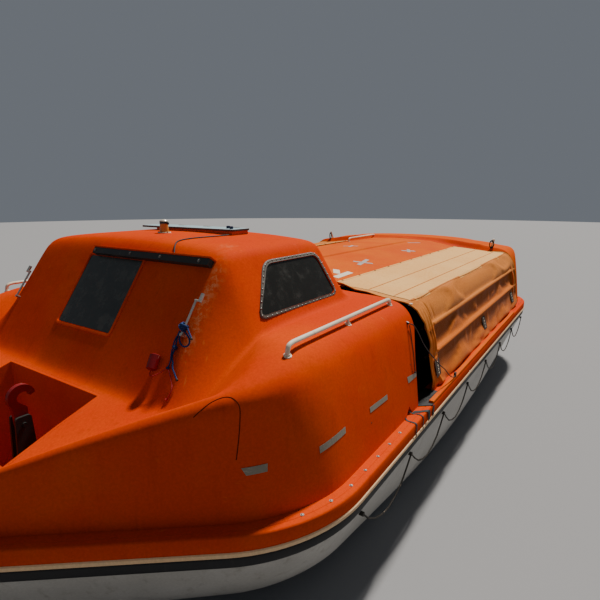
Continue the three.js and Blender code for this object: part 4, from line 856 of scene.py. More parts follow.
stern = skin("stern_canopy", STERN, STERN_STATIONS)
bow = skin("bow_canopy", BOW, BOW_STATIONS)
ON_STERN, ON_BOW = tree_of(stern), tree_of(bow)
CREASE = [(-3.08, -0.976, 2.561), (-3.379, -1.131, 2.401), (-3.476, -1.123, 2.274), (-3.621, -1.144, 2.068),
          (-3.71, -1.135, 1.95)]


def points_of(obj):
    return np.array([v.co for v in obj.data.vertices])


def write_attribute(obj, name, values):
    values = values.reshape(-1).astype(np.float32)
    obj.data.attributes.new(name, "FLOAT", "POINT").data.foreach_set("value", values)


def rub(obj, line, reach):
    """Writes the attribute "wear": 1 on a line, fading out over `reach`."""
    apart = np.min(np.linalg.norm(points_of(obj)[:, None, :] - eased(line, 40)[None], axis=2), axis=1)
    write_attribute(obj, "wear", np.exp(-(apart / reach)**2))


rub(stern, CREASE, 0.045)


def dropped(tree, x, y):
    """Where a plumb line from above meets a piece, and its normal there."""
    return tree.ray_cast(Vector((x, y, 4)), Vector((0, 0, -1)))[:2]


def height_on(tree, x, y):
    return dropped(tree, x, y)[0].z


print("wheelhouse crown at", round(height_on(ON_STERN, -2.7, 0), 3))

# %% Roof between the canopies, with its raised middle rib
ROOF_LINE = [(1.12, 2.056), (1.1, 2.06), (0.62, 2.146), (0.575, 2.15), (0.53, 2.152)]
RIB_END = 2.25


def roof_row(x, rise):
    rib = table([(-1.7, 0.26), (0.8, 0.287), (2.25, 0.35)], x)
    steps = ((0.05, 0.0), (0.014, 0.03), (0.004, 0.5), (-0.006, 0.97), (-0.04, 1.0))
    edge = [(rib + out, 2.18 - 0.052 * (rib + out) + rise * share) for out, share in steps]
    return both_sides(x, [*ROOF_LINE, *edge, (0.0, 2.18 + rise * 0.9)])


RIB = 0.03
roof_xs = [(STERN_EDGE + 0.001, RIB), (-1.7, RIB), (0.2, RIB), (RIB_END - 0.12, RIB), (RIB_END, RIB / 2),
           (RIB_END + 0.06, 0.0), (2.6, 0.0), (BOW_EDGE - 0.001, 0.0)]
roof = moulded("roof_panel", [roof_row(x, rise) for x, rise in roof_xs], (0.6, 0, 1.5))
ON_ROOF = tree_of(subdivided(roof, 2))
for shell, finish in ((stern, ORANGE), (bow, ORANGE_BOW), (roof, ORANGE_TOP)):
    shell.data.materials.append(finish)
    shell.data.materials.append(INNER_SHADE)
dress(smooth(thickened(roof, 0.024), 35), node="roof", slot="orange_grp")
print("roof faces", len(roof.data.polygons))

# %% [markdown]
# ## Windows, hatch opening and hook bays
# Each opening is cut with a plate of the opening's own outline, stood in the wall that it
# pierces. The same outline later makes the rubber frame, so the two always agree.


# %% Outlines in a wall's own plane
def rounded(corners, radius, steps=6):
    """A closed outline with its corners rounded, as points in the wall's plane."""
    corners = [Vector(c) for c in corners]
    points = []
    for i, corner in enumerate(corners):
        before, after = corners[i - 1], corners[(i + 1) % len(corners)]
        start = corner + (before - corner).normalized() * radius
        end = corner + (after - corner).normalized() * radius
        for t in np.linspace(0, 1, steps + 1):
            points.append(start * (1 - t)**2 + corner * 2 * t * (1 - t) + end * t**2)
    return points


def grown(corners, by):
    """The outline with its corners moved away from its middle, by as much along both axes."""
    middle = [(min(values) + max(values)) / 2 for values in zip(*corners)]
    return [tuple(v + math.copysign(by, v - m) for v, m in zip(corner, middle)) for corner in corners]


def plate(name, outline, low, high, axes, bevel=0.0):
    """A flat plate of an outline, from low to high over the wall."""
    deselect()
    bpy.ops.mesh.primitive_circle_add(vertices=len(outline), radius=1, fill_type="NGON")
    obj = named(name)
    for vertex, point in zip(obj.data.vertices, outline):
        vertex.co = (point[0], point[1], low)
    in_edit(obj, lambda: bpy.ops.mesh.extrude_region_move(TRANSFORM_OT_translate={"value": (0, 0, high - low)}))
    outward(obj).data.transform(axes)
    if bevel:
        bevelled(obj, bevel)
    return smooth(obj, 35)


LENGTHWISE = wall_axes((0, 0, 0), (1, 0, 0), (0, 0, 1))
WALL_FOOT_Z = 2.06
SIDE_UP = (HOUSE_EDGE_Y + 0.015 - HOUSE_FOOT_Y, 2.495 - WALL_FOOT_Z)
SIDE_LOW_Z = 2.115
SIDE_PLANE_Y = HOUSE_FOOT_Y + SIDE_UP[0] * (SIDE_LOW_Z - WALL_FOOT_Z) / SIDE_UP[1]
SIDE_CORNERS = [(-3.2, 0), (-2.14, 0), (-2.2, 0.37), (-2.9, 0.37)]
FRONT_LEAN = (-1.96 + 2.03) / (2.15 - 2.48)
WINDOWS = {
    "starboard": (wall_axes((0, -SIDE_PLANE_Y, SIDE_LOW_Z), (1, 0, 0), (0, -SIDE_UP[0], SIDE_UP[1])),
                  SIDE_CORNERS, 0.07),
    "port": (wall_axes((0, SIDE_PLANE_Y, SIDE_LOW_Z), (-1, 0, 0), (0, SIDE_UP[0], SIDE_UP[1])),
             [(-x, y) for x, y in SIDE_CORNERS[::-1]], 0.07),
    "aft": (face_axes(2.455), [(-0.345, -0.615), (0.345, -0.615), (0.345, 0), (-0.345, 0)], 0.02),
    "front": (wall_axes((-2.03 + (2.265 - 2.48) * FRONT_LEAN, 0, 2.265), (0, 1, 0), (FRONT_LEAN, 0, 1)),
              [(-0.64, 0), (0.64, 0), (0.64, 0.2), (-0.64, 0.2)], 0.05),
}

# %% Cut the shells and give them their thickness
BAY_NEAR, BAY_FAR, BAY_HALF = 3.99, 4.65, 0.62
HATCH_X, HATCH_SIDES, HATCH_OPEN = -2.51, (-0.6, 0.4), 0.13


openings = [plate(f"hole_{key}", rounded(corners, radius), -0.12, 0.12, axes)
            for key, (axes, corners, radius) in WINDOWS.items()]
openings.append(block("hole_hatch", (HATCH_X - HATCH_OPEN / 2, HATCH_SIDES[0] + 0.05, 2.3),
                      (HATCH_X + HATCH_OPEN / 2, HATCH_SIDES[1] - 0.05, 2.8)))
openings.append(block("hole_bay", (-BAY_FAR, -BAY_HALF, 0.9), (-BAY_NEAR, BAY_HALF, 2.6)))
for shell in (stern, bow):
    thickened(shell, 0.025)
EDGE_LINE = [(-1.745, 1.79), (-1.78, 1.71), (-1.809, 1.637), (-1.836, 1.518), (-1.853, 1.261), (-1.864, 1.09)]
past_edge = [*EDGE_LINE, (EDGE_LINE[-1][0], 1.0), (-1.7, 1.0), (-1.7, 1.79)]
openings.append(plate("edge_wedge", past_edge, -2.6, 2.6, LENGTHWISE))
STRAP_NOTCH = ((-2.16, 1.09), (-2.002, 1.09), (-2.069, 1.178))
for low, high in ((1.9, 2.3), (-2.3, -1.9)):
    openings.append(plate("strap_notch", STRAP_NOTCH, low, high, LENGTHWISE))
bow_bay = block("hole_bow_bay", (BAY_NEAR, -BAY_HALF, 0.9), (BAY_FAR, BAY_HALF, 2.6))
for shell, cutters, node in ((stern, openings, "canopy_stern"), (bow, [bow_bay], "canopy_bow")):
    smooth(combined(shell, joined("cutter", cutters)), 35)
    applied(shell, "WEIGHTED_NORMAL", keep_sharp=True)
    dress(shell, node=node, slot="orange_grp")
    print(shell.name, len(shell.data.polygons), "faces")

# %% [markdown]
# ## Bands round the gunwale
# The hull and the canopy meet at a wide flange with rounded edges. Under it run the pale
# boot-top strip and the rubber fender. Each is one profile swept round the plan, like a
# moulding run with a template.


# %% Bands swept round the plan
def band(name, profile, material, node, slot, inner_z):
    """Sweeps a closed profile of (inset, z) points round the plan."""
    rings = [[(x, y, z) for x, y in plan(inset)] for inset, z in [*profile, profile[0]]]
    obj = outward(moulded(name, rings, (0, 0, inner_z), round_way=True, long_way=True))
    dress(smooth(obj, 40), material, node=node, slot=slot)
    print(name, len(obj.data.polygons), "faces")


def arc(inset, z, radius, start, end, steps=4):
    angles = np.radians(np.linspace(start, end, steps))
    return [(inset - radius * math.cos(a), z + radius * math.sin(a)) for a in angles]


band("gunwale_flange", [
    (0.2, 1.0005), (0.01, 1.0005), *arc(0.016, 1.006, 0.01, -80, 0, 3), *arc(0.022, 1.084, 0.016, 10, 80),
    (0.05, 1.0998), (0.0535, 1.0968), (0.057, 1.0998), (0.1, 1.1), (0.2, 1.1),
], ORANGE, "gunwale", "orange_grp", 1.05)
band("pale_strip", [
    (0.15, 0.9655), (0.006, 0.9655), (0.0, 0.972), (0.0, 0.993), (0.006, 0.9995), (0.15, 0.9995),
], CREAM, "edge_strip", "cream_edge", 0.98)
band("rubber_fender", [
    (0.14, 0.8805), (0.03, 0.8805), *arc(0.034, 0.903, 0.02, -70, 0), *arc(0.034, 0.942, 0.02, 0, 70), (0.14, 0.9645),
], RUBBER, "fender_band", "fender_rubber", 0.92)

# %% [markdown]
# ## The hull
# Below the fender the hull narrows to a keel with a skeg. It is lofted from level lines, each
# a blend of the gunwale's plan and a finer underwater outline, and smoothed by subdivision.

# %% Hull levels
# Height, half breadth, reach aft and forward, and how far the outline follows the gunwale's
HULL_LEVELS = (
    (-0.65, 0.26, 2.5, 3.5, 0.2), (-0.59, 0.9, 3.0, 3.9, 0.2), (-0.43, 1.42, 3.55, 4.3, 0.3),
    (-0.2, 1.76, 4.15, 4.68, 0.45), (0.1, 1.98, 4.72, 4.96, 0.65), (0.48, 2.11, 5.12, 5.18, 0.85),
    (0.88, 2.18, 5.315, 5.315, 1.0),
)


def level_row(z, beam, aft, fore, full):
    row = []
    for x, y in plan(0):
        share, breadth = abs(x) / END_X, abs(y) / SIDE_Y
        fine = max(0.0, 1 - share**2.2)**0.9
        width = beam * (breadth * full + fine * (1 - full))
        side = math.copysign(width, y) if abs(y) > 1e-9 else 0.0
        row.append((x / END_X * (aft if x < 0 else fore), side, z))
    return row


hull_rows = [level_row(*levels) for levels in HULL_LEVELS]
hull_skin = subdivided(moulded("hull_shell", hull_rows, (0, 0, 0.2), round_way=True), 1)
hull_skin.data.materials.append(HULL_PAINT)
hull_skin.data.materials.append(INNER_SHADE)
in_edit(hull_skin, lambda: bpy.ops.mesh.fill_holes(sides=0))
print("hull faces", len(hull_skin.data.polygons))

# %% Skeg, shaft boss and a thick skin
SHAFT_Z = -0.47
SKEG = ((-4.25, -0.765), (3.0, -0.765), (3.9, -0.48), (3.9, -0.3), (-3.0, -0.3), (-4.25, -0.06))
skeg = plate("skeg", SKEG, -0.06, 0.06, LENGTHWISE, bevel=0.012)
boss = drum("shaft_boss", (-3.7, 0, SHAFT_Z), (-4.27, 0, SHAFT_Z), 0.075, 32, bevel=0.012)
for part in (skeg, boss):
    part.data.materials.append(HULL_PAINT)
    combined(hull_skin, part, "UNION")
lid_faces = [f.index for f in hull_skin.data.polygons if f.center.z > 0.875 and f.normal.z > 0.9]
in_edit(hull_skin, lambda: bpy.ops.mesh.select_all(action="DESELECT"))
for index in lid_faces:
    hull_skin.data.polygons[index].select = True
bpy.ops.object.mode_set(mode="EDIT")
bpy.ops.mesh.delete(type="FACE")
bpy.ops.object.mode_set(mode="OBJECT")
dress(smooth(thickened(hull_skin, 0.028), 35), node="hull", slot="hull_grp")
print("hull opened on top, faces", len(hull_skin.data.polygons))

# %% [markdown]
# ## The edge where the roof meets the bow
# The bow shell stands a little higher than the roof and the covers. On the real boat one
# moulding runs from one to the other, so a short ramp is laid between the shell's edge and the
# lower surface. Both edges are curves of the same length in points, so rows blended between
# them give a smooth ramp.

# %% Ramp between the roof and the bow shell
COVER_LINE = [(2.085, 1.13), (2.088, 1.245), (2.075, 1.6), (2.0, 1.83), (1.926, 1.958), (1.824, 1.994), (1.563, 2.02),
              (1.342, 2.05), (1.05, 2.085)]
low_edge = [(y - 0.016, z - 0.004) if z < 1.95 else (y, z - 0.018) for y, z in COVER_LINE[:-1]]
low_edge += [(1.1, 2.058), (1.05, 2.071), (0.62, 2.148), (0.3, 2.166), (0.0, 2.183)]
low_edge, high_edge = resampled(low_edge, 44), resampled(half_section(BOW, BOW_EDGE), 44)
RAMP_SHARES = ((2.78, 0.0), (2.82, 0.03), (2.86, 0.22), (2.9, 0.6), (2.935, 0.93), (BOW_EDGE + 0.002, 1.0))
ramp_rows = [both_sides(x, low_edge * (1 - share) + high_edge * share) for x, share in RAMP_SHARES]
fairing = subdivided(moulded("bow_ramp", ramp_rows, (2.9, 0, 1.2)), 1)
ON_RAMP = tree_of(fairing)
applied(fairing, "SOLIDIFY", thickness=0.01, offset=-1)
dress(smooth(fairing, 40), ORANGE, slot="orange_grp")
print("ramp faces", len(fairing.data.polygons))

# %% [markdown]
# ## Canvas covers
# Each side opening is closed by a coated canvas cover: pale and flat on the roof, tan down the
# side. Two rods run in sleeves along the side, and the cloth sags and buckles between them. The
# sheet is laid over its frame by rows, then a cloth simulation with a little spare length makes
# the folds: the sleeves, the roof and the hems are pinned, as the real ones are laced. Folds
# that were only drawn as bumps would vanish from the side.

# %% The cover's profile with its two sleeves
RODS = ((2.047, 1.453), (1.994, 1.719))
SLEEVE = 0.024


def sleeve_arc(middle):
    angles = np.radians(np.linspace(-80, 80, 8))
    return [(middle[0] + SLEEVE * math.cos(a), middle[1] + SLEEVE * math.sin(a)) for a in angles]


side_low = [(2.113, 1.105), (2.125, 1.122), (2.134, 1.145), (2.137, 1.17), (2.132, 1.2), (2.119, 1.235),
            (2.101, 1.27), (2.084, 1.3), (2.07, 1.33), (2.061, 1.36), (2.055, 1.39), (2.051, 1.422)]
side_middle = [(2.05, 1.48), (2.037, 1.492), (2.028, 1.515), (2.02, 1.55), (2.011, 1.59), (1.999, 1.63),
               (1.988, 1.665), (1.983, 1.69)]
side_high = [(1.995, 1.748), (1.998, 1.775), (1.995, 1.81), (1.985, 1.845), (1.968, 1.88), (1.944, 1.92),
             (1.912, 1.955), (1.876, 1.979), (1.84, 1.991)]
TOP_LINE = ((-1.83, 1.994), (-1.563, 2.02), (-1.342, 2.05), (-1.05, 2.085))
top = [(y, table(TOP_LINE, -y)) for y in np.arange(1.8, 1.049, -0.03)]
ROLLED = np.array([*side_low, *sleeve_arc(RODS[0]), *side_middle, *sleeve_arc(RODS[1]), *side_high, *top])
on_side = ROLLED[:, 1] < 1.93
PLAIN = ROLLED.copy()
over_y, over_z = np.array(COVER_LINE[:5]).T
PLAIN[on_side, 0] = np.interp(ROLLED[on_side, 1], over_z, over_y) + 0.008
DOWN = running(PLAIN)
AFT_HEM = ((0, -1.47), (0.05, -1.49), (0.23, -1.545), (0.4, -1.6), (0.68, -1.6), (0.85, -1.64), (1.03, -1.685),
           (1.18, -1.68), (1.38, -1.635), (1.49, -1.665), (1.69, -1.56), (1.8, -1.56))
FORE_HEM = ((0, 2.965), (0.8, 2.965), (0.95, 2.93), (1.8, 2.65))
HOOPS = (-0.45, 1.85)
HOOP_OUT = ((1.263, 2.041), (1.424, 2.034), (1.454, 2.03), (1.584, 2.014), (1.72, 1.983))
print("profile points", len(ROLLED), "length", round(float(DOWN[-1]), 3))

# %% Rows of the sheet, with its folds begun
STEPS = np.r_[np.linspace(0, 0.1, 46)[:-1], np.linspace(0.1, 0.97, 120)[:-1], np.linspace(0.97, 1, 9)]


def eased_step(value, start, end):
    t = np.clip((value - start) / (end - start), 0, 1)
    return t * t * (3 - 2 * t)


def ridge(turns, sharp=2.0):
    """A sharp crest at every whole turn, and 0 between."""
    return (1 - np.abs(np.sin(np.pi * turns)))**sharp


def folded(x, z, outward):
    """How far the cloth stands out at x and height z, for folds that the simulation then settles."""
    band = np.exp(-((z - 1.585) / 0.066)**2)
    belly = np.exp(-((z - 1.23) / 0.085)**2)
    slope = np.exp(-((z - 1.84) / 0.06)**2) * (1 - eased_step(z, 1.87, 1.93))
    gather = 0.5 + 0.5 * np.sin(2.9 * x + 0.6)
    leaning = ridge(1.25 * x + 2.7 * z + 0.3 * np.sin(2.1 * x))
    crossing = ridge(1.05 * x - 3.4 * z + 0.35 * np.sin(1.7 * x + 1))
    buckled = 0.020 * band * (leaning * gather + crossing * (1.1 - gather))
    broad = np.sin(2 * np.pi * (0.85 * x - 1.1 * z + 0.2 * np.sin(1.9 * x + 1.0)))
    pulled = ridge(1.4 * x - 2.3 * z + 0.25 * np.sin(2.4 * x), 3.0) * (1 - gather * 0.6)
    low = belly * (0.009 * broad + 0.016 * pulled - 0.004)
    fan = slope * eased_step(x, 1.5, 2.5) * 0.011 * ridge(3.1 * x - (5.2 - x) * z, 1.5)
    tucked = slope * 0.010 * np.exp(-((x + 1.19 + 1.1 * (z - 1.8)**2) / 0.022)**2)
    body = 1 - eased_step(-x, 1.28, 1.33)
    ends = 1 - eased_step(x, 2.86, 2.94)
    skirt = eased_step(-x, 1.31, 1.35) * (1 - eased_step(z, 1.8, 1.97))
    upright = 0.016 * ridge(x / 0.062 + 0.9 * np.sin(4.5 * z), 1.4) - 0.002
    seam = np.exp(-((x + 1.305) / 0.016)**2) * 0.02
    return outward * (body * ends * (buckled + low + fan - tucked) + skirt * upright - seam)


def clear_of_hoops(x, y, z):
    """The cloth lies over the frame's two hoops, and sinks in only between them."""
    over = np.interp(z, *zip(*HOOP_OUT)) + 0.009
    near = sum(np.exp(-((x - hoop) / 0.07)**2) for hoop in HOOPS) * ((z > 1.48) & (z < 1.7))
    return y + near * np.maximum(0, over - y)


def sheet_rows():
    rows = []
    starts, stops = (np.interp(DOWN, *zip(*hem)) for hem in (AFT_HEM, FORE_HEM))
    for share in STEPS:
        xs = starts + (stops - starts) * share
        rolled = eased_step(xs, -1.335, -1.29) * (1 - 0.8 * eased_step(xs, 2.88, 2.96))
        y = PLAIN[:, 0] * (1 - rolled) + ROLLED[:, 0] * rolled
        z = PLAIN[:, 1].copy()
        y = clear_of_hoops(xs, y + folded(xs, z, np.where(on_side, 1.0, 0.0)), z)
        past = xs - starts
        z = z + np.where(on_side, 0.0, 0.006 * np.exp(-((past - 0.07 - 0.01 * np.sin(9 * y)) / 0.012)**2))
        rows.append(np.stack([xs, -y, z], axis=1))
    return rows


def over_shell(point, clear=0.006):
    """The same point, moved out where the ramp or the bow shell would come through."""
    if point[0] < 2.76:
        return point
    axis = Vector((point[0], 0, 1.2))
    away = Vector(point) - axis
    hits = [tree.ray_cast(axis, away.normalized()) for tree in (ON_RAMP, ON_BOW)]
    best = max([away.length, *[distance + clear for hit, _, _, distance in hits if hit is not None]])
    return axis + away.normalized() * best


rows = np.array([[over_shell(point) for point in row] for row in sheet_rows()])
print("sheet grid", rows.shape[:2])

# %% Canvas finishes
# The colour of the painted shade in the canvas's sunk folds.
FOLD_SHADE_COLOUR = (0.23, 0.052, 0.005)


def canvas(name, colour, shade, dirt):
    """Coated canvas, darkened where a fold lies sunk: painted shade, read from a point attribute."""
    material, tree, shader, where = blank_material(name)
    weather = weathered(tree, shader, where, colour, shade, dirt, 0.6, 0.25, 0.6)
    cloth = use_group(tree, WEAVE, Where=where, Threads=220.0)
    shaded = mixed(tree, cloth.outputs["Shade"], weather.outputs["Colour"], (*shade, 1))
    surface = mixed(tree, 0.5, weather.outputs["Colour"], shaded)
    tree.links.new(mixed(tree, attribute(tree, "fold_shade"), surface, (*FOLD_SHADE_COLOUR, 1)), shader.inputs["Base Color"])
    bump(tree, shader, cloth.outputs["Height"], 0.0006, 0.5)
    shader.inputs["Specular IOR Level"].default_value = 0.08
    shader.inputs["Sheen Weight"].default_value = 0.03
    return material


CANVAS_PALE = canvas("canvas_pale", (0.78, 0.38, 0.10), (0.86, 0.52, 0.20), (0.46, 0.18, 0.04))
CANVAS_TAN = canvas("canvas_tan", (0.54, 0.155, 0.020), (0.62, 0.21, 0.035), (0.26, 0.05, 0.006))
CANVAS_LOW = canvas("canvas_low", (0.58, 0.125, 0.008), (0.64, 0.17, 0.018), (0.27, 0.048, 0.004))
CANVAS_BAND = canvas("canvas_band", (0.66, 0.25, 0.050), (0.74, 0.34, 0.09), (0.36, 0.10, 0.015))
STITCH = painted("stitched_edge", (0.085, 0.026, 0.010), (0.14, 0.05, 0.02), (0.03, 0.01, 0.005), shine=0.6,
                 gloss=0.1)
CANVAS_HEM = canvas("canvas_hem", (0.50, 0.13, 0.012), (0.58, 0.18, 0.025), (0.22, 0.04, 0.004))
PATCH = painted("lacing_patch", (0.045, 0.038, 0.032), (0.08, 0.07, 0.06), (0.015, 0.012, 0.01), shine=0.6,
                gloss=0.15)


# %% Drape the starboard cover
def draped(obj, held, frames, slack, cap):
    """Lets a sheet sag and buckle under its weight, then keeps its shape without the modifier."""
    rest = points_of(obj)
    pins = obj.vertex_groups.new(name="held")
    for index, weight in enumerate(held):
        if weight > 0.01:
            pins.add([index], float(weight), "REPLACE")
    choose(obj)
    cloth = obj.modifiers.new("Cloth", "CLOTH")
    canvas_like = {
        "quality": 6, "mass": 0.35, "tension_stiffness": 20, "compression_stiffness": 20, "shear_stiffness": 6,
        "bending_stiffness": 4, "vertex_group_mass": "held", "shrink_min": -slack, "shrink_max": -slack,
    }
    for key, value in canvas_like.items():
        setattr(cloth.settings, key, value)
    cloth.collision_settings.use_collision = False
    cloth.point_cache.frame_start, cloth.point_cache.frame_end = 1, frames
    scene = bpy.context.scene
    for step in range(1, frames + 1):
        scene.frame_set(step)
    shaped = obj.evaluated_get(bpy.context.evaluated_depsgraph_get()).data
    move = np.array([v.co for v in shaped.vertices]) - rest
    scene.frame_set(1)
    obj.modifiers.remove(cloth)
    obj.vertex_groups.remove(pins)
    length = np.linalg.norm(move, axis=1, keepdims=True)
    move *= np.minimum(1, cap / np.maximum(length, 1e-9))
    obj.data.vertices.foreach_set("co", (rest + move).reshape(-1))
    obj.data.update()
    print(obj.name, "moved up to", round(float(length.max()), 4), "m, kept within", cap)


def held_weights(rows):
    """1 where the cloth is laced or rides on a rod, 0 where it hangs free."""
    x, y, z = rows[..., 0], np.abs(rows[..., 1]), rows[..., 2]
    held = np.zeros(x.shape)
    held[y < 1.86] = 1.0
    for middle_y, middle_z in RODS:
        held[np.hypot(y - middle_y, z - middle_z) < SLEEVE + 0.004] = 1.0
    for hoop in HOOPS:
        held[np.abs(x - hoop) < 0.08] = 1.0
    laced = 0.5 + 0.5 * np.cos(2 * np.pi * (x - 0.69) / 0.49)
    foot = z < 1.112
    held[foot] = np.maximum(held[foot], 0.25 + 0.75 * laced[foot]**2)
    held[:2] = 1.0
    held[-8:] = 1.0
    return held.reshape(-1)


sheet = moulded("cover_cloth_starboard", rows, (0.7, -1.0, 1.2))
draped(sheet, held_weights(rows), 22, 0.003, 0.03)


def shade_folds(obj, shape, reach=(3, 5), depth=0.011):
    """Writes painted shade as a point attribute: how far the cloth lies inside its own neighbourhood."""
    points = points_of(obj).reshape(*shape, 3)
    out = np.abs(points[..., 1])
    mean = out
    for axis, count in enumerate(reach):
        padded = np.pad(mean, [(count, count) if a == axis else (0, 0) for a in (0, 1)], mode="edge")
        mean = sum(np.take(padded, range(k, k + shape[axis]), axis) for k in range(2 * count + 1)) / (2 * count + 1)
    fold_shade = np.clip((mean - out) / depth, 0, 0.85) * (points[..., 2] < 1.9)
    write_attribute(obj, "fold_shade", fold_shade)
    print("soil in the folds, mean", round(float(fold_shade.mean()), 3))


shade_folds(sheet, rows.shape[:2])
CLOTHS = (CANVAS_TAN, CANVAS_PALE, CANVAS_BAND, CANVAS_LOW)
STITCHED = ((1.05, -1.545), (1.25, -1.60), (1.48, -1.528), (1.645, -1.546), (1.78, -1.553), (1.87, -1.534))
TOP_EDGE_Y, ROD_Z = 1.852, 1.725


def hem_line(y):
    """Where the stitched line lies that parts the pale top from its aft hem."""
    return table(STITCHED, abs(y))


def cloth_at(point):
    if abs(point.y) < TOP_EDGE_Y:
        return CANVAS_BAND if point.x < hem_line(point.y) else CANVAS_PALE
    return CANVAS_LOW if point.z < ROD_Z else CANVAS_TAN


for material in CLOTHS:
    sheet.data.materials.append(material)
for face in sheet.data.polygons:
    face.material_index = CLOTHS.index(cloth_at(face.center))
smooth(subdivided(sheet, 1), 80)
ON_CLOTH = tree_of(sheet)


# %% Seams, hems and lacing patches of the starboard cover
def cloth_top(x, y):
    return dropped(ON_CLOTH, x, y)[0]


def torus(name, radius, thickness, around, across, turn, at=(0, 0, 0)):
    deselect()
    bpy.ops.mesh.primitive_torus_add(major_radius=radius, minor_radius=thickness, major_segments=around,
                                     minor_segments=across, rotation=(math.pi / 2, 0, turn), location=at)
    return named(name)


def cloth_side(x, z):
    return ON_CLOTH.ray_cast(Vector((x, -3.5, z)), Vector((0, 1, 0)))[0]


def strip_along(name, path, width, height, material, across):
    """A flat tape sewn on the cloth, with rounded edges."""
    shape = ((-0.5, -0.6), (-0.46, 0.7), (0, 1.0), (0.46, 0.7), (0.5, -0.6))
    rows = [[point + across * (a * width) + Vector((0, 0, b * height)) for a, b in shape] for point in path]
    obj = moulded(name, rows, path[len(path) // 2] - Vector((0, 0, 1)))
    obj.data.materials.append(material)
    return smooth(obj, 50)


def lacing_patch(x):
    """A stiff grey patch that lies over the cloth's folds, with four rings in a row."""
    slant, middle_z = 0.04 / 0.17, 1.295
    spots = [(x + dx, z) for dx in np.linspace(-0.075, 0.075, 7) for z in np.linspace(1.2, 1.385, 9)]
    hits = np.array([cloth_side(*spot) for spot in spots])
    flat = np.c_[np.ones(len(hits)), hits[:, 0], hits[:, 2]]
    plane, *_ = np.linalg.lstsq(flat, hits[:, 1], rcond=None)
    over = float((hits[:, 1] - plane @ flat.T).min())

    def lying(px, pz, out):
        return Vector((px, float(plane @ (1, px, pz)) + over * 0.6 - out, pz))

    rows = []
    for dx in np.linspace(-0.08, 0.08, 5):
        rows.append([lying(x + dx + slant * (middle_z - z), z, 0.001) for z in np.linspace(1.21, 1.38, 9)])
    patch = applied(moulded("patch", rows, (x, -1, 1.3)), "SOLIDIFY", thickness=0.003, offset=1)
    patch.data.materials.append(PATCH)
    rings = []
    for z in np.linspace(1.235, 1.355, 4):
        centre = lying(x + slant * (middle_z - z), z, 0.005)
        rings.append(settle(torus("patch_ring", 0.011, 0.0035, 16, 6, 0, centre)))
    return smooth(patch, 60), rings


INNER_HEM_Y = -1.066
seams, rings, patches, studs = [], [], [], []
for kind, y, start, stop, width, height, material in (
    ("seam", -1.41, -1.52, table(((1.05, 2.63), (1.86, 2.9)), 1.41), 0.014, 0.0022, CANVAS_HEM),
    ("seam", -1.68, -1.52, table(((1.05, 2.63), (1.86, 2.9)), 1.68), 0.014, 0.0022, CANVAS_HEM),
    ("seam", -1.85, -1.53, 2.9, 0.016, 0.0022, CANVAS_HEM),
    ("stitched", -1.24, 0.0, -1.85, 0.0055, 0.0022, STITCH),
    ("stitched", -1.33, -0.017, -1.85, 0.0055, 0.0022, STITCH),
    ("hem", INNER_HEM_Y, -1.55, 2.64, 0.028, 0.003, CANVAS_PALE),
):
    if kind == "stitched":
        line = [cloth_top(hem_line(at) + start + 0.004 * math.sin(31 * at + 90 * start), at)
                for at in np.linspace(y, stop, 44)]
    else:
        line = [cloth_top(x, y) for x in np.linspace(start, stop, 60)]
    across = Vector((1, 0, 0)) if kind == "stitched" else Vector((0, 1, 0))
    seams.append(strip_along(kind, line, width, height, material, across))
for name, path, radius in (("aft_hem", rows[0], 0.0075), ("fore_hem", rows[-1], 0.004)):
    seams.append(tube(name, path, radius, 8))
    seams[-1].data.materials.append(CANVAS_TAN)
for x in (-1.33, 0.69, 2.62):
    patch, more = lacing_patch(x)
    patches.append(patch)
    rings += more
for x in np.arange(-1.45, 2.6, 0.4):
    at = cloth_top(x, INNER_HEM_Y)
    studs.append(drum("stud", at - Vector((0, 0, 0.004)), at + Vector((0, 0, 0.008)), 0.011, 12, bevel=0.002))
ring_set, stud_set = joined("cover_rings_starboard", rings), joined("cover_studs_starboard", studs)
clip_at = cloth_top(-1.62, -1.885)
tab = block("tab_clip", clip_at + Vector((-0.02, -0.013, -0.004)), clip_at + Vector((0.018, 0.013, 0.01)), bevel=0.003)
tail = block("tab_tail", clip_at + Vector((-0.062, -0.009, -0.004)), clip_at + Vector((-0.018, 0.009, 0.004)),
             bevel=0.0015)
for obj, finish in ((ring_set, RAIL_WHITE), (stud_set, DARK_METAL), (tab, RAIL_WHITE), (tail, DARK_METAL)):
    obj.data.materials.append(finish)
print("patches", len(patches), "rings", len(rings), "studs", len(studs))


# %% Both covers
def mirrored(obj, name):
    """The same piece on the other side, with its faces turned back outward."""
    other = obj.copy()
    other.data = obj.data.copy()
    bpy.context.scene.collection.objects.link(other)
    other.name = other.data.name = name
    other.data.transform(Matrix.Scale(-1, 4, (0, 1, 0)))
    other.data.flip_normals()
    return other


def to_port(obj):
    """Its twin to port, named for its side."""
    name = obj.name.replace("starboard", "port")
    return mirrored(obj, name if name != obj.name else f"{name}_port")


trim = joined("cover_trim_starboard", [*seams, *patches])
fittings = [trim, ring_set, stud_set, joined("cover_clip_starboard", [tab, tail])]
port_sheet = mirrored(sheet, "cover_cloth_port")
for face in port_sheet.data.polygons:
    face.material_index = 3 if face.material_index == 3 else 0
for obj, side in ((sheet, "starboard"), (port_sheet, "port")):
    dress(obj, node=f"cover_{side}", slot="cover_canvas")
    sewn = fittings if side == "starboard" else [to_port(piece) for piece in fittings]
    for piece in sewn:
        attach(piece, "boat")

# %% [markdown]
# ## Rubber window frames
# The side windows are held by thick black rubber with a rivet every few centimetres. The
# frame is one profile swept round the opening's outline; the rivet is modelled once and
# copied along the same line.


# %% Copies of small things
def copies(name, model, places):
    """One mesh of many copies of a small model, each moved by its matrix. The model is used up."""
    parts = []
    for place in places:
        part = model.copy()
        part.data = model.data.copy()
        bpy.context.scene.collection.objects.link(part)
        part.data.transform(place)
        parts.append(part)
    bpy.data.objects.remove(model)
    return joined(name, parts)


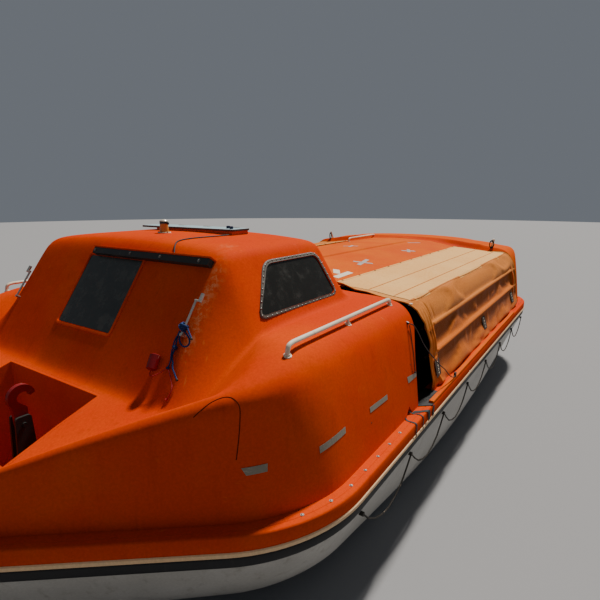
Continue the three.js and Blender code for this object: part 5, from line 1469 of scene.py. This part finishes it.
def standing(point, normal):
    """The matrix that stands a thing made at the origin on a surface point."""
    return Matrix.Translation(point) @ Vector(normal).to_track_quat("Z", "Y").to_matrix().to_4x4()


def bolt_model(radius, height):
    """A bolt head on a washer, with its foot a little sunk."""
    head = drum("bolt_head", (0, 0, -height * 0.3), (0, 0, height), radius, 6, bevel=radius * 0.12)
    disc = drum("bolt_washer", (0, 0, -height * 0.3), (0, 0, height * 0.3), radius * 1.7, 12)
    return joined("bolt_model", [head, disc])


def rivet_model(radius):
    deselect()
    bpy.ops.mesh.primitive_uv_sphere_add(segments=10, ring_count=6, radius=radius)
    dome = named("rivet_model")
    in_edit(dome, lambda: bpy.ops.transform.resize(value=(1, 1, 0.55)))
    return smooth(dome, 60)


def every(outline, pitch):
    """Points at an even pitch round a closed outline."""
    closed = np.array([[p[0], p[1]] for p in [*outline, outline[0]]])
    steps = running(closed)
    count = max(3, round(steps[-1] / pitch))
    for s in np.arange(count) * steps[-1] / count:
        yield Vector((np.interp(s, steps, closed[:, 0]), np.interp(s, steps, closed[:, 1]), 0))


# %% Side window frames
GASKET_RUBBER = painted("gasket_rubber", (0.085, 0.075, 0.062), (0.17, 0.155, 0.13), (0.05, 0.045, 0.035), fade=0.9,
                        shine=0.5, scuff=(0.3, 0.28, 0.25), grain=0.0012)
RIVET_METAL = painted("rivet_metal", (0.20, 0.19, 0.17), (0.35, 0.34, 0.31), (0.12, 0.08, 0.05), shine=0.35, metal=0.8)
FRAME_PROFILE = ((-0.017, -0.014), (0.031, -0.014), (0.0318, 0.004), (0.027, 0.0095), (0.012, 0.0108), (0.006, 0.0085),
                 (-0.001, 0.0108), (-0.012, 0.0095), (-0.0168, 0.004))


def window_frame(side):
    axes, corners, radius = WINDOWS[side]
    profile = [*FRAME_PROFILE, FRAME_PROFILE[0]]
    outlines = [rounded(grown(corners, out), radius + out) for out, _ in profile]
    rings = [[axes @ Vector((p[0], p[1], z)) for p in [*ring, ring[0]]] for ring, (_, z) in zip(outlines, profile)]
    middle = axes @ Vector((sum(p[0] for p in outlines[0]) / len(outlines[0]), 0.18, -0.02))
    obj = outward(moulded(f"window_frame_{side}", rings, middle, round_way=True, long_way=True))
    dress(smooth(obj, 50), GASKET_RUBBER, node=f"window_{side}_gasket")
    line = rounded(grown(corners, 0.019), radius + 0.019)
    places = [axes @ Matrix.Translation(p + Vector((0, 0, 0.0105))) for p in every(line, 0.056)]
    dress(copies(f"window_rivets_{side}", rivet_model(0.0085), places), RIVET_METAL)
    return len(places)


print("rivets", [window_frame(side) for side in ("starboard", "port")])

# %% [markdown]
# ## The sliding window in the stern face
# The pane runs in a thin raised rim, under a dark rail that is bolted to the face and stands
# proud of it. A lip of laminate keeps rain out of the rail.

# %% Aft window rim, rail bolts and rain lip
RAIL_UP = (2.457 - FACE_FOOT_Z) / math.cos(FACE_LEAN)
aft_axes, aft_corners, aft_radius = WINDOWS["aft"]
RIM_OUT, RIM_IN = 0.03, 0.006
ring, hole = (
    plate(name, rounded(grown(aft_corners, out), aft_radius + out), low, high, aft_axes)
    for name, out, low, high in (("aft_window_rim", RIM_OUT, -0.01, 0.009), ("rim_hole", RIM_IN, -0.06, 0.059))
)
dress(smooth(bevelled(combined(ring, hole), 0.003), 35), ORANGE)
lip = block("rain_lip", (-0.285, RAIL_UP + 0.054, -0.012), (1.087, RAIL_UP + 0.068, 0.056), bevel=0.004)
lip.data.transform(FACE)
dress(lip, ORANGE)
places = [FACE @ Matrix.Translation((x, RAIL_UP + 0.027, 0.048)) for x in (-0.25, 0.217, 0.573, 0.984)]
dress(copies("rail_bolts", bolt_model(0.008, 0.008), places), RIVET_METAL)
print("rail runs along the face at", round(RAIL_UP, 3), "m up the slope")

# %% [markdown]
# ## Handrails
# Each rail is a painted tube that bends down into round feet at its ends and stands on a
# stanchion in the middle. The tubes are swept, and every foot is dropped onto the shell that
# carries it, so nothing hovers.


# %% Rails on their shells
def rail(name, y, z, feet, tree, node):
    """A rail at y and z whose feet stand at the given x, the first of them furthest aft."""
    radius, bend, step, third = 0.016, 0.05, 0.01, 2.094
    starts = [height_on(tree, x, y) for x in feet]
    ends = [(feet[0] - step, y, starts[0] - 0.01), (feet[0] - 0.012, y, z - bend),
            (feet[0] + 0.004, y, z - 0.012), (feet[0] + bend, y, z)]
    last = [(feet[-1] - bend, y, z), (feet[-1] - 0.004, y, z - 0.012), (feet[-1] + 0.012, y, z - bend),
            (feet[-1] + step, y, starts[-1] - 0.01)]
    path = np.vstack([eased(ends, 14), np.linspace(ends[-1], last[0], 12)[1:-1], eased(last, 14)])
    parts = [tube(f"{name}_tube", path, radius, 14)]
    for x, ground in list(zip(feet, starts))[1:-1]:
        parts.append(drum("post", (x, y, ground - 0.01), (x, y, z), 0.011, 12))
    for x, ground in zip(feet, starts):
        at = x + (step if x == feet[-1] else -step if x == feet[0] else 0)
        normal = dropped(tree, at, y)[1]
        foot = Vector((at, y, ground))
        parts.append(drum("foot", foot - normal * 0.012, foot + normal * 0.005, 0.027, 20, bevel=0.002))
        parts.append(drum("collar", foot - normal * 0.004, foot + Vector((0, 0, 0.014)), 0.0195, 16, bevel=0.002))
        for turn in range(3):
            around = Matrix.Rotation(turn * third + 0.4, 3, normal) @ Vector((0.0225, 0, 0))
            around -= normal * around.dot(normal)
            parts.append(drum("foot_screw", foot + around, foot + around + normal * 0.008, 0.0035, 6))
    dress(joined(name, parts), RAIL_WHITE, node=node, slot="white_paint")


SIDE_FEET = (-3.448, -2.675, -1.909)
rail("handrail_starboard", -1.79, 2.06, SIDE_FEET, ON_STERN, "rail_stern_starboard")
rail("handrail_port", 1.79, 2.06, SIDE_FEET, ON_STERN, "rail_stern_port")
rail("handrail_roof", 0.62, 2.205, (1.86, 2.92), ON_ROOF, "rail_roof_port")
print("rail feet at", [round(height_on(ON_STERN, x, -1.79), 3) for x in SIDE_FEET])

# %% [markdown]
# ## Tapes, crosses and marks
# Reflective tape is pressed onto the gelcoat, so it follows the shell exactly. Each piece is a
# small grid between four corners, and every point of it moves to the nearest point of the shell.
# That is why the corners need only be nearly right. The dark line of painted shadow along the quarter's groove is laid
# the same way.


# %% Tape pressed onto a shell
# The roof tapes are the same reflective tape made lighter: painted sunlight, against the copy with painted shade on
# the sides.
TAPE_LIT = painted("tape_in_sun", (0.42, 0.37, 0.33), (0.55, 0.50, 0.45), (0.22, 0.14, 0.09), shine=0.35)
WHITE_PATCH = painted("white_patch", (0.72, 0.62, 0.46), (0.80, 0.72, 0.58), (0.35, 0.22, 0.12), shine=0.4)


def pressed(corners, tree, material):
    a, b, c, d = (Vector(p) for p in corners)
    rows = []
    for t in np.linspace(0, 1, 9):
        row = []
        for s in np.linspace(0, 1, 4):
            spot, normal = tree.find_nearest(a.lerp(b, t).lerp(d.lerp(c, t), s))[:2]
            row.append(spot + normal * 0.0015)
        rows.append(row)
    obj = applied(moulded("tape", rows, spot - normal * 0.3), "SOLIDIFY", thickness=0.001, offset=1)
    obj.data.materials.append(material)
    return smooth(obj, 60)


def on_roof(name, material, arms):
    """Straight tapes on the roof, each from one (x, y) to another with its width."""
    pieces = []
    for start, end, width in arms:
        a, b = Vector((*start, 0)), Vector((*end, 0))
        side = (b - a).normalized().cross(Vector((0, 0, 1))) * width / 2
        corners = [(p.x, p.y, height_on(ON_ROOF, p.x, p.y)) for p in (a + side, b + side, b - side, a - side)]
        pieces.append(pressed(corners, ON_ROOF, material))
    return joined(name, pieces)


crosses = on_roof("roof_crosses", TAPE_LIT, (
    ((-0.424, -0.657), (-0.256, -0.853), 0.05), ((-0.53, -0.788), (-0.11, -0.706), 0.05),
    ((1.11, -0.692), (1.345, -0.82), 0.05), ((1.13, -0.80), (1.35, -0.71), 0.05), ((0.60, 0.05), (0.74, -0.13), 0.04),
    ((0.57, -0.07), (0.78, -0.02), 0.04), ((2.098, -0.41), (2.303, -0.562), 0.05),
))
patches = on_roof("roof_patches", WHITE_PATCH, (
    ((-1.041, -0.759), (-1.194, -0.853), 0.075), ((-0.973, -0.91), (-1.359, -0.929), 0.07),
))
SIDE_TAPES = (
    ((-3.902, -1.78, 1.446), (-3.78, -1.874, 1.448), (-3.784, -1.876, 1.398), (-3.883, -1.80, 1.396)),
    ((-3.443, -2.0, 1.435), (-3.164, -2.0, 1.451), (-3.164, -2.0, 1.406), (-3.443, -2.0, 1.39)),
    ((-2.795, -2.05, 1.446), (-2.486, -2.05, 1.434), (-2.486, -2.05, 1.393), (-2.795, -2.05, 1.403)),
    ((-2.064, -2.05, 1.434), (-1.851, -2.05, 1.409), (-1.854, -2.05, 1.374), (-2.047, -2.05, 1.372)),
)
side_tapes = joined("side_tapes_starboard", [pressed(corners, ON_STERN, TAPE_IN_SHADE) for corners in SIDE_TAPES])
for obj in (crosses, patches, side_tapes, to_port(side_tapes)):
    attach(obj, "boat")
print("tapes on the roof and the sides", len(SIDE_TAPES) * 2 + 9)

# %% The quarter's groove, drawn as a line of painted shadow, and plugs
# A dark tube along the quarter's small step paints the shadow line that the step casts.
GROOVE_SHADOW = painted("groove_shadow_line", (0.07, 0.008, 0.002), (0.12, 0.02, 0.005), (0.02, 0.006, 0.003), shine=0.6,
                 gloss=0.05)


def line_on_stern(name, points, radius, sink, count):
    """A thin tube that lies along the stern's shell, sunk a little into it."""
    spots = [ON_STERN.find_nearest(Vector(point))[:2] for point in eased(points, count)]
    return tube(name, [spot - normal * sink for spot, normal in spots], radius, 8)


def on_both_sides(obj, *materials):
    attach(to_port(dress(obj, *materials)), "boat")


QUARTER = [(-4.047, -1.574, 1.76), (-4.01, -1.599, 1.796), (-3.959, -1.628, 1.829), (-3.915, -1.664, 1.847),
           (-3.89, -1.702, 1.851), (-3.881, -1.739, 1.837), (-3.88, -1.764, 1.805), (-3.888, -1.771, 1.738),
           (-3.90, -1.769, 1.632), (-3.918, -1.761, 1.499)]
PLUGS = ((-1.961, -2.045, 1.517), (-1.924, -2.045, 1.44), (-2.789, -2.064, 1.326))
on_both_sides(line_on_stern("quarter_groove_shadow", QUARTER, 0.0035, 0.0015, 40), GROOVE_SHADOW)
dots = [standing(*ON_STERN.find_nearest(Vector(point))[:2]) for point in PLUGS]
on_both_sides(copies("side_plugs", rivet_model(0.006), dots), DARK_METAL)
print("plugs", len(dots))

# %% [markdown]
# ## Along the gunwale
# Bolts hold the canopies to the hull's flange, one every 20 cm. At the side entries two narrow
# straps come out of a notch in the shell and pass over the gunwale. Beside them a wide dark band
# paints the shadow that falls across the gunwale, and a dark sheet on the sill paints the shade in the entry.

# %% Flange bolts
PITCH, BOLT_INSET = 0.208, 0.063
places = []
for x in (*np.arange(-3.66, -2.3, PITCH), *np.arange(3.05, 4.2, PITCH)):
    y = half_breadth(x, BOLT_INSET)
    places += [Matrix.Translation((x, side * y, GUNWALE_TOP)) for side in (1, -1)]
dress(copies("flange_bolts", bolt_model(0.0075, 0.006), places), RIVET_METAL)
print("flange bolts", len(places))


# %% Straps over the gunwale, a band of painted shadow, and painted shade on the sill
# The third, wide strap is a dark band of painted shadow across the gunwale.
STRAPS_AND_SHADOW = (
    (0.022, [(-2.14, -2.075, 1.125), (-2.185, -2.11, 1.1015), (-2.192, -2.16, 1.1012), (-2.196, -2.195, 1.1),
             (-2.204, -2.2065, 1.088), (-2.208, -2.2065, 1.04), (-2.211, -2.2075, 0.985)]),
    (0.017, [(-2.07, -2.075, 1.13), (-2.04, -2.115, 1.1015), (-2.022, -2.155, 1.1012), (-2.036, -2.194, 1.1),
             (-2.042, -2.2065, 1.088), (-2.043, -2.2065, 1.04), (-2.044, -2.2075, 0.985)]),
    (0.05, [(-2.01, -2.1, 1.1015), (-1.965, -2.15, 1.1012), (-1.912, -2.194, 1.1), (-1.895, -2.2065, 1.088),
            (-1.888, -2.2065, 1.05), (-1.882, -2.2065, 1.004)]),
)


def strap(width, points):
    """A flat strap along a path over the gunwale, its width along the boat."""
    shares = (-1, -0.8, 0.8, 1)
    rows = [[Vector(p) + Vector((a * width / 2, 0, 0)) for a in shares] for p in eased(points, 26)]
    obj = moulded("strap", rows, (points[0][0], -2.12, 1.02))
    return smooth(applied(obj, "SOLIDIFY", thickness=0.0025, offset=1), 50)


straps_and_shadow = joined("entry_straps_starboard", [strap(*one) for one in STRAPS_AND_SHADOW])
# A dark sheet on the sill and a dark strip on the gunwale's side paint the shade inside the entry.
SILL = ((-1.872, -2.01), (-1.872, -2.1), (-1.79, -2.196), (-1.75, -2.199), (-1.75, -2.147), (-1.45, -2.147),
        (-1.45, -2.01))
EDGE = ((-1.79, 1.0), (-1.745, 1.0), (-1.745, 1.1), (-1.79, 1.1))
sill_shade = plate("entry_mat_starboard", SILL, 1.1004, 1.106, Matrix.Identity(4))
edge_shade = plate("entry_edge_starboard", EDGE, 2.2051, 2.2075, LENGTHWISE)
for obj in (straps_and_shadow, sill_shade, edge_shade):
    on_both_sides(obj, RUBBER)
print("strap faces", len(straps_and_shadow.data.polygons))

# %% [markdown]
# ## Hatch, lamp and bow lug
# The roof hatch is a slab that hinges forward on a raised frame. Small fittings sit round it: the
# knuckles of its hinge, two clips, and the cable that runs from the window rail to the lamp.

# %% Hatch fittings
LID_TOP = 2.664
HINGE_X, HINGE_Z = -2.385, 2.655


def above(tree, where, height):
    """1 over a height and 0 under it."""
    return sums(tree, "GREATER_THAN", add_node(tree, "ShaderNodeSeparateXYZ", i0=where).outputs[2], height)


def lid_finish():
    """Pale grey-blue on top, dark round the edge, told apart by height."""
    material, tree, shader, where = blank_material("hatch_slab")
    top = above(tree, where, LID_TOP - 0.003)
    patchy = noise(tree, where, 9, 5, 0.65)
    pale = mixed(tree, patchy, (0.27, 0.38, 0.41, 1), (0.36, 0.52, 0.57, 1))
    tree.links.new(mixed(tree, top, (0.028, 0.038, 0.029, 1), pale), shader.inputs["Base Color"])
    tree.links.new(ramp(tree, patchy, 0.2, 0.8, (0.35, 0.6)), shader.inputs["Roughness"])
    return material


SLAB = lid_finish()
knuckles = []
for y in (-0.45, -0.1, 0.25):
    ends = [(HINGE_X, y + half, HINGE_Z) for half in (-0.045, 0.045)]
    knuckles.append(drum("knuckle", *ends, 0.0085, 14, bevel=0.0015))
    leaf_low, leaf_high = (HINGE_X - 0.05, y - 0.04, LID_TOP), (HINGE_X - 0.002, y + 0.04, LID_TOP + 0.003)
    knuckles.append(block("leaf", leaf_low, leaf_high, bevel=0.001))
dress(joined("hatch_hinge_leaves", knuckles), STEEL, body="hatch_lid")
CLIP_BLUE = painted("clip_blue", (0.006, 0.010, 0.05), (0.015, 0.022, 0.09), (0.01, 0.01, 0.02), shine=0.4)
clips = joined("hatch_clips", [
    block("clip", (x - 0.014, y - 0.012, LID_TOP - 0.001), (x + 0.014, y + 0.012, LID_TOP + 0.024), bevel=0.004)
    for x, y in ((-2.53, -0.475), (-2.573, -0.553))
])
dress(clips, CLIP_BLUE, body="hatch_lid")
CABLE = [(-3.391, -0.675, 2.53), (-3.33, -0.64, 2.56), (-3.25, -0.585, 2.6), (-3.158, -0.554, 2.61),
         (-2.9, -0.57, 2.62), (-2.65, -0.59, 2.62)]
cable = dress(line_on_stern("rail_cable", CABLE, 0.006, -0.0045, 50), RUBBER)
print("hatch parts", len(knuckles), "cable faces", len(cable.data.polygons))

# %% Lamp foot and bow lug
LAMP_X, LAMP_Y = -2.875, -0.022
lamp_ground = height_on(ON_STERN, LAMP_X, LAMP_Y)
COLLAR_TOP = lamp_ground + 0.008
collar = drum("lamp_collar", (LAMP_X, LAMP_Y, lamp_ground - 0.01), (LAMP_X, LAMP_Y, COLLAR_TOP), 0.058, 28,
              bevel=0.003)
dress(collar, RAIL_WHITE)
places = [Matrix.Translation((LAMP_X + 0.05 * math.cos(a), LAMP_Y + 0.05 * math.sin(a), COLLAR_TOP))
          for a in np.radians((20, 140, 260))]
dress(copies("lamp_screws", bolt_model(0.005, 0.008), places), RIVET_METAL)
arm_low, arm_high = (LAMP_X - 0.008, LAMP_Y - 0.062, 2.7), (LAMP_X + 0.008, LAMP_Y - 0.044, 2.722)
dress(block("lamp_bracket", arm_low, arm_high, bevel=0.003), DARK_METAL)
lug_x, lug_y = 2.97, -1.62
ground = height_on(ON_BOW, lug_x, lug_y)
outline = rounded([(-0.02, -0.01), (0.02, -0.01), (0.02, 0.15), (-0.02, 0.15)], 0.012)
lug_axes = wall_axes((lug_x + 0.04, lug_y, ground), (0.56, -0.83, 0), (-0.3, -0.2, 1))
on_both_sides(plate("bow_lug", outline, -0.008, 0.008, lug_axes, bevel=0.002), RAIL_WHITE)
shackle = torus("bow_shackle", 0.036, 0.009, 28, 10, -0.98)
in_edit(shackle, lambda: bpy.ops.transform.resize(value=(1, 1, 1.7)),
        lambda: bpy.ops.transform.translate(value=(lug_x - 0.05, lug_y - 0.01, ground + 0.05)))
on_both_sides(smooth(settle(shackle), 60), DARK_METAL)
print("lamp stands at", round(lamp_ground, 3), "bow lug at", round(ground, 3))

# %% [markdown]
# ## Finishes on the CAD's own pieces
# Many fittings already have their right shape, so they only take a finish. Their meshes stay as
# the frame gave them.

# %% Glass, lamp and the other finishes
def glass_finish(name, clean, dusty):
    material, tree, shader, where = blank_material(name)
    grime = ramp(tree, noise(tree, where, 7, 6, 0.7), 0.45, 0.75)
    rings = ramp(tree, noise(tree, where, 26, 3, 0.6), 0.5, 0.8)
    both = sums(tree, "MULTIPLY_ADD", rings, 0.4, grime)
    tree.links.new(mixed(tree, both, (*clean, 1), (*dusty, 1)), shader.inputs["Base Color"])
    tree.links.new(ramp(tree, both, 0, 1.2, (0.22, 0.5)), shader.inputs["Roughness"])
    shader.inputs["Specular IOR Level"].default_value = 0.3
    return material


def lamp_finish():
    """Amber lens under a black band and a pale dome, by height."""
    material, tree, shader, where = blank_material("lamp_lens")
    amber, black, dome = (0.62, 0.27, 0.03, 1), (0.012, 0.012, 0.012, 1), (0.55, 0.5, 0.4, 1)
    band, top = above(tree, where, 2.7085), above(tree, where, 2.7285)
    dull = noise(tree, where, 90, 3, 0.6)
    lens = mixed(tree, dull, amber, (0.48, 0.17, 0.015, 1))
    tree.links.new(mixed(tree, top, mixed(tree, band, lens, black), dome), shader.inputs["Base Color"])
    tree.links.new(ramp(tree, dull, 0, 1, (0.2, 0.4)), shader.inputs["Roughness"])
    shader.inputs["Coat Weight"].default_value = 0.3
    return material


PANE = glass_finish("dark_pane", (0.012, 0.012, 0.010), (0.028, 0.028, 0.024))
DUSTY_PANE = glass_finish("dusty_pane", (0.028, 0.034, 0.031), (0.062, 0.070, 0.060))
GRAB_LINE = painted("grab_line", (0.030, 0.026, 0.022), (0.08, 0.07, 0.06), (0.01, 0.009, 0.008), fade=0.8,
                    shine=0.7, gloss=0.15, grain=0.0015)
FINISHES = (
    (DUSTY_PANE, "window_pane", ("window_aft",)),
    (PANE, "window_pane", ("window_front", "window_port", "window_starboard")),
    (lamp_finish(), "lamp_lens", ("lamp",)),
    (ORANGE_TOP, "orange_grp", ("hatch_coaming", "gunwale_lip_starboard", "gunwale_lip_port")),
    (ORANGE, "orange_grp", ("hook_bay_bow", "hook_bay_stern")),
    (SLAB, "grey_moulding", ("hatch_lid",)),
    (GREY_PLASTIC, "grey_moulding", ("helm_console", "floor")),
    (GRAB_LINE, "black_cord", ("grab_line_starboard", "grab_line_port")),
    (SHADED_WHITE_MOULDING, "white_paint", ("bench_port", "bench_starboard", "bench_middle", "engine_casing")),
    (STEEL, "galvanised", ("release_handle_starboard", "release_handle_port")),
    (GALVANISED, "galvanised", ("propeller_guard", "rudder", "engine")),
    (DARK_METAL, "black_paint", ("cover_frame", "window_rail_aft", "hook_post_stern", "hook_post_bow", "helm_seat",
                                 "steering_wheel", "lanyard_eye", "lanyard_clip")),
    (RED_PLASTIC, "red_paint", ("hook_stern", "hook_bow", "marker_float")),
    (BRONZE, "bronze", ("propeller",)),
)
for material, slot, nodes in FINISHES:
    for node in nodes:
        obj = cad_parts[node]
        obj.data.materials.clear()
        obj.data.materials.append(material)
print("finished", sum(len(nodes) for _, _, nodes in FINISHES), "nodes")

# %% Measure and finish
low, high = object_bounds()
print("visual box", [round(v, 3) for v in (*low, *high)])
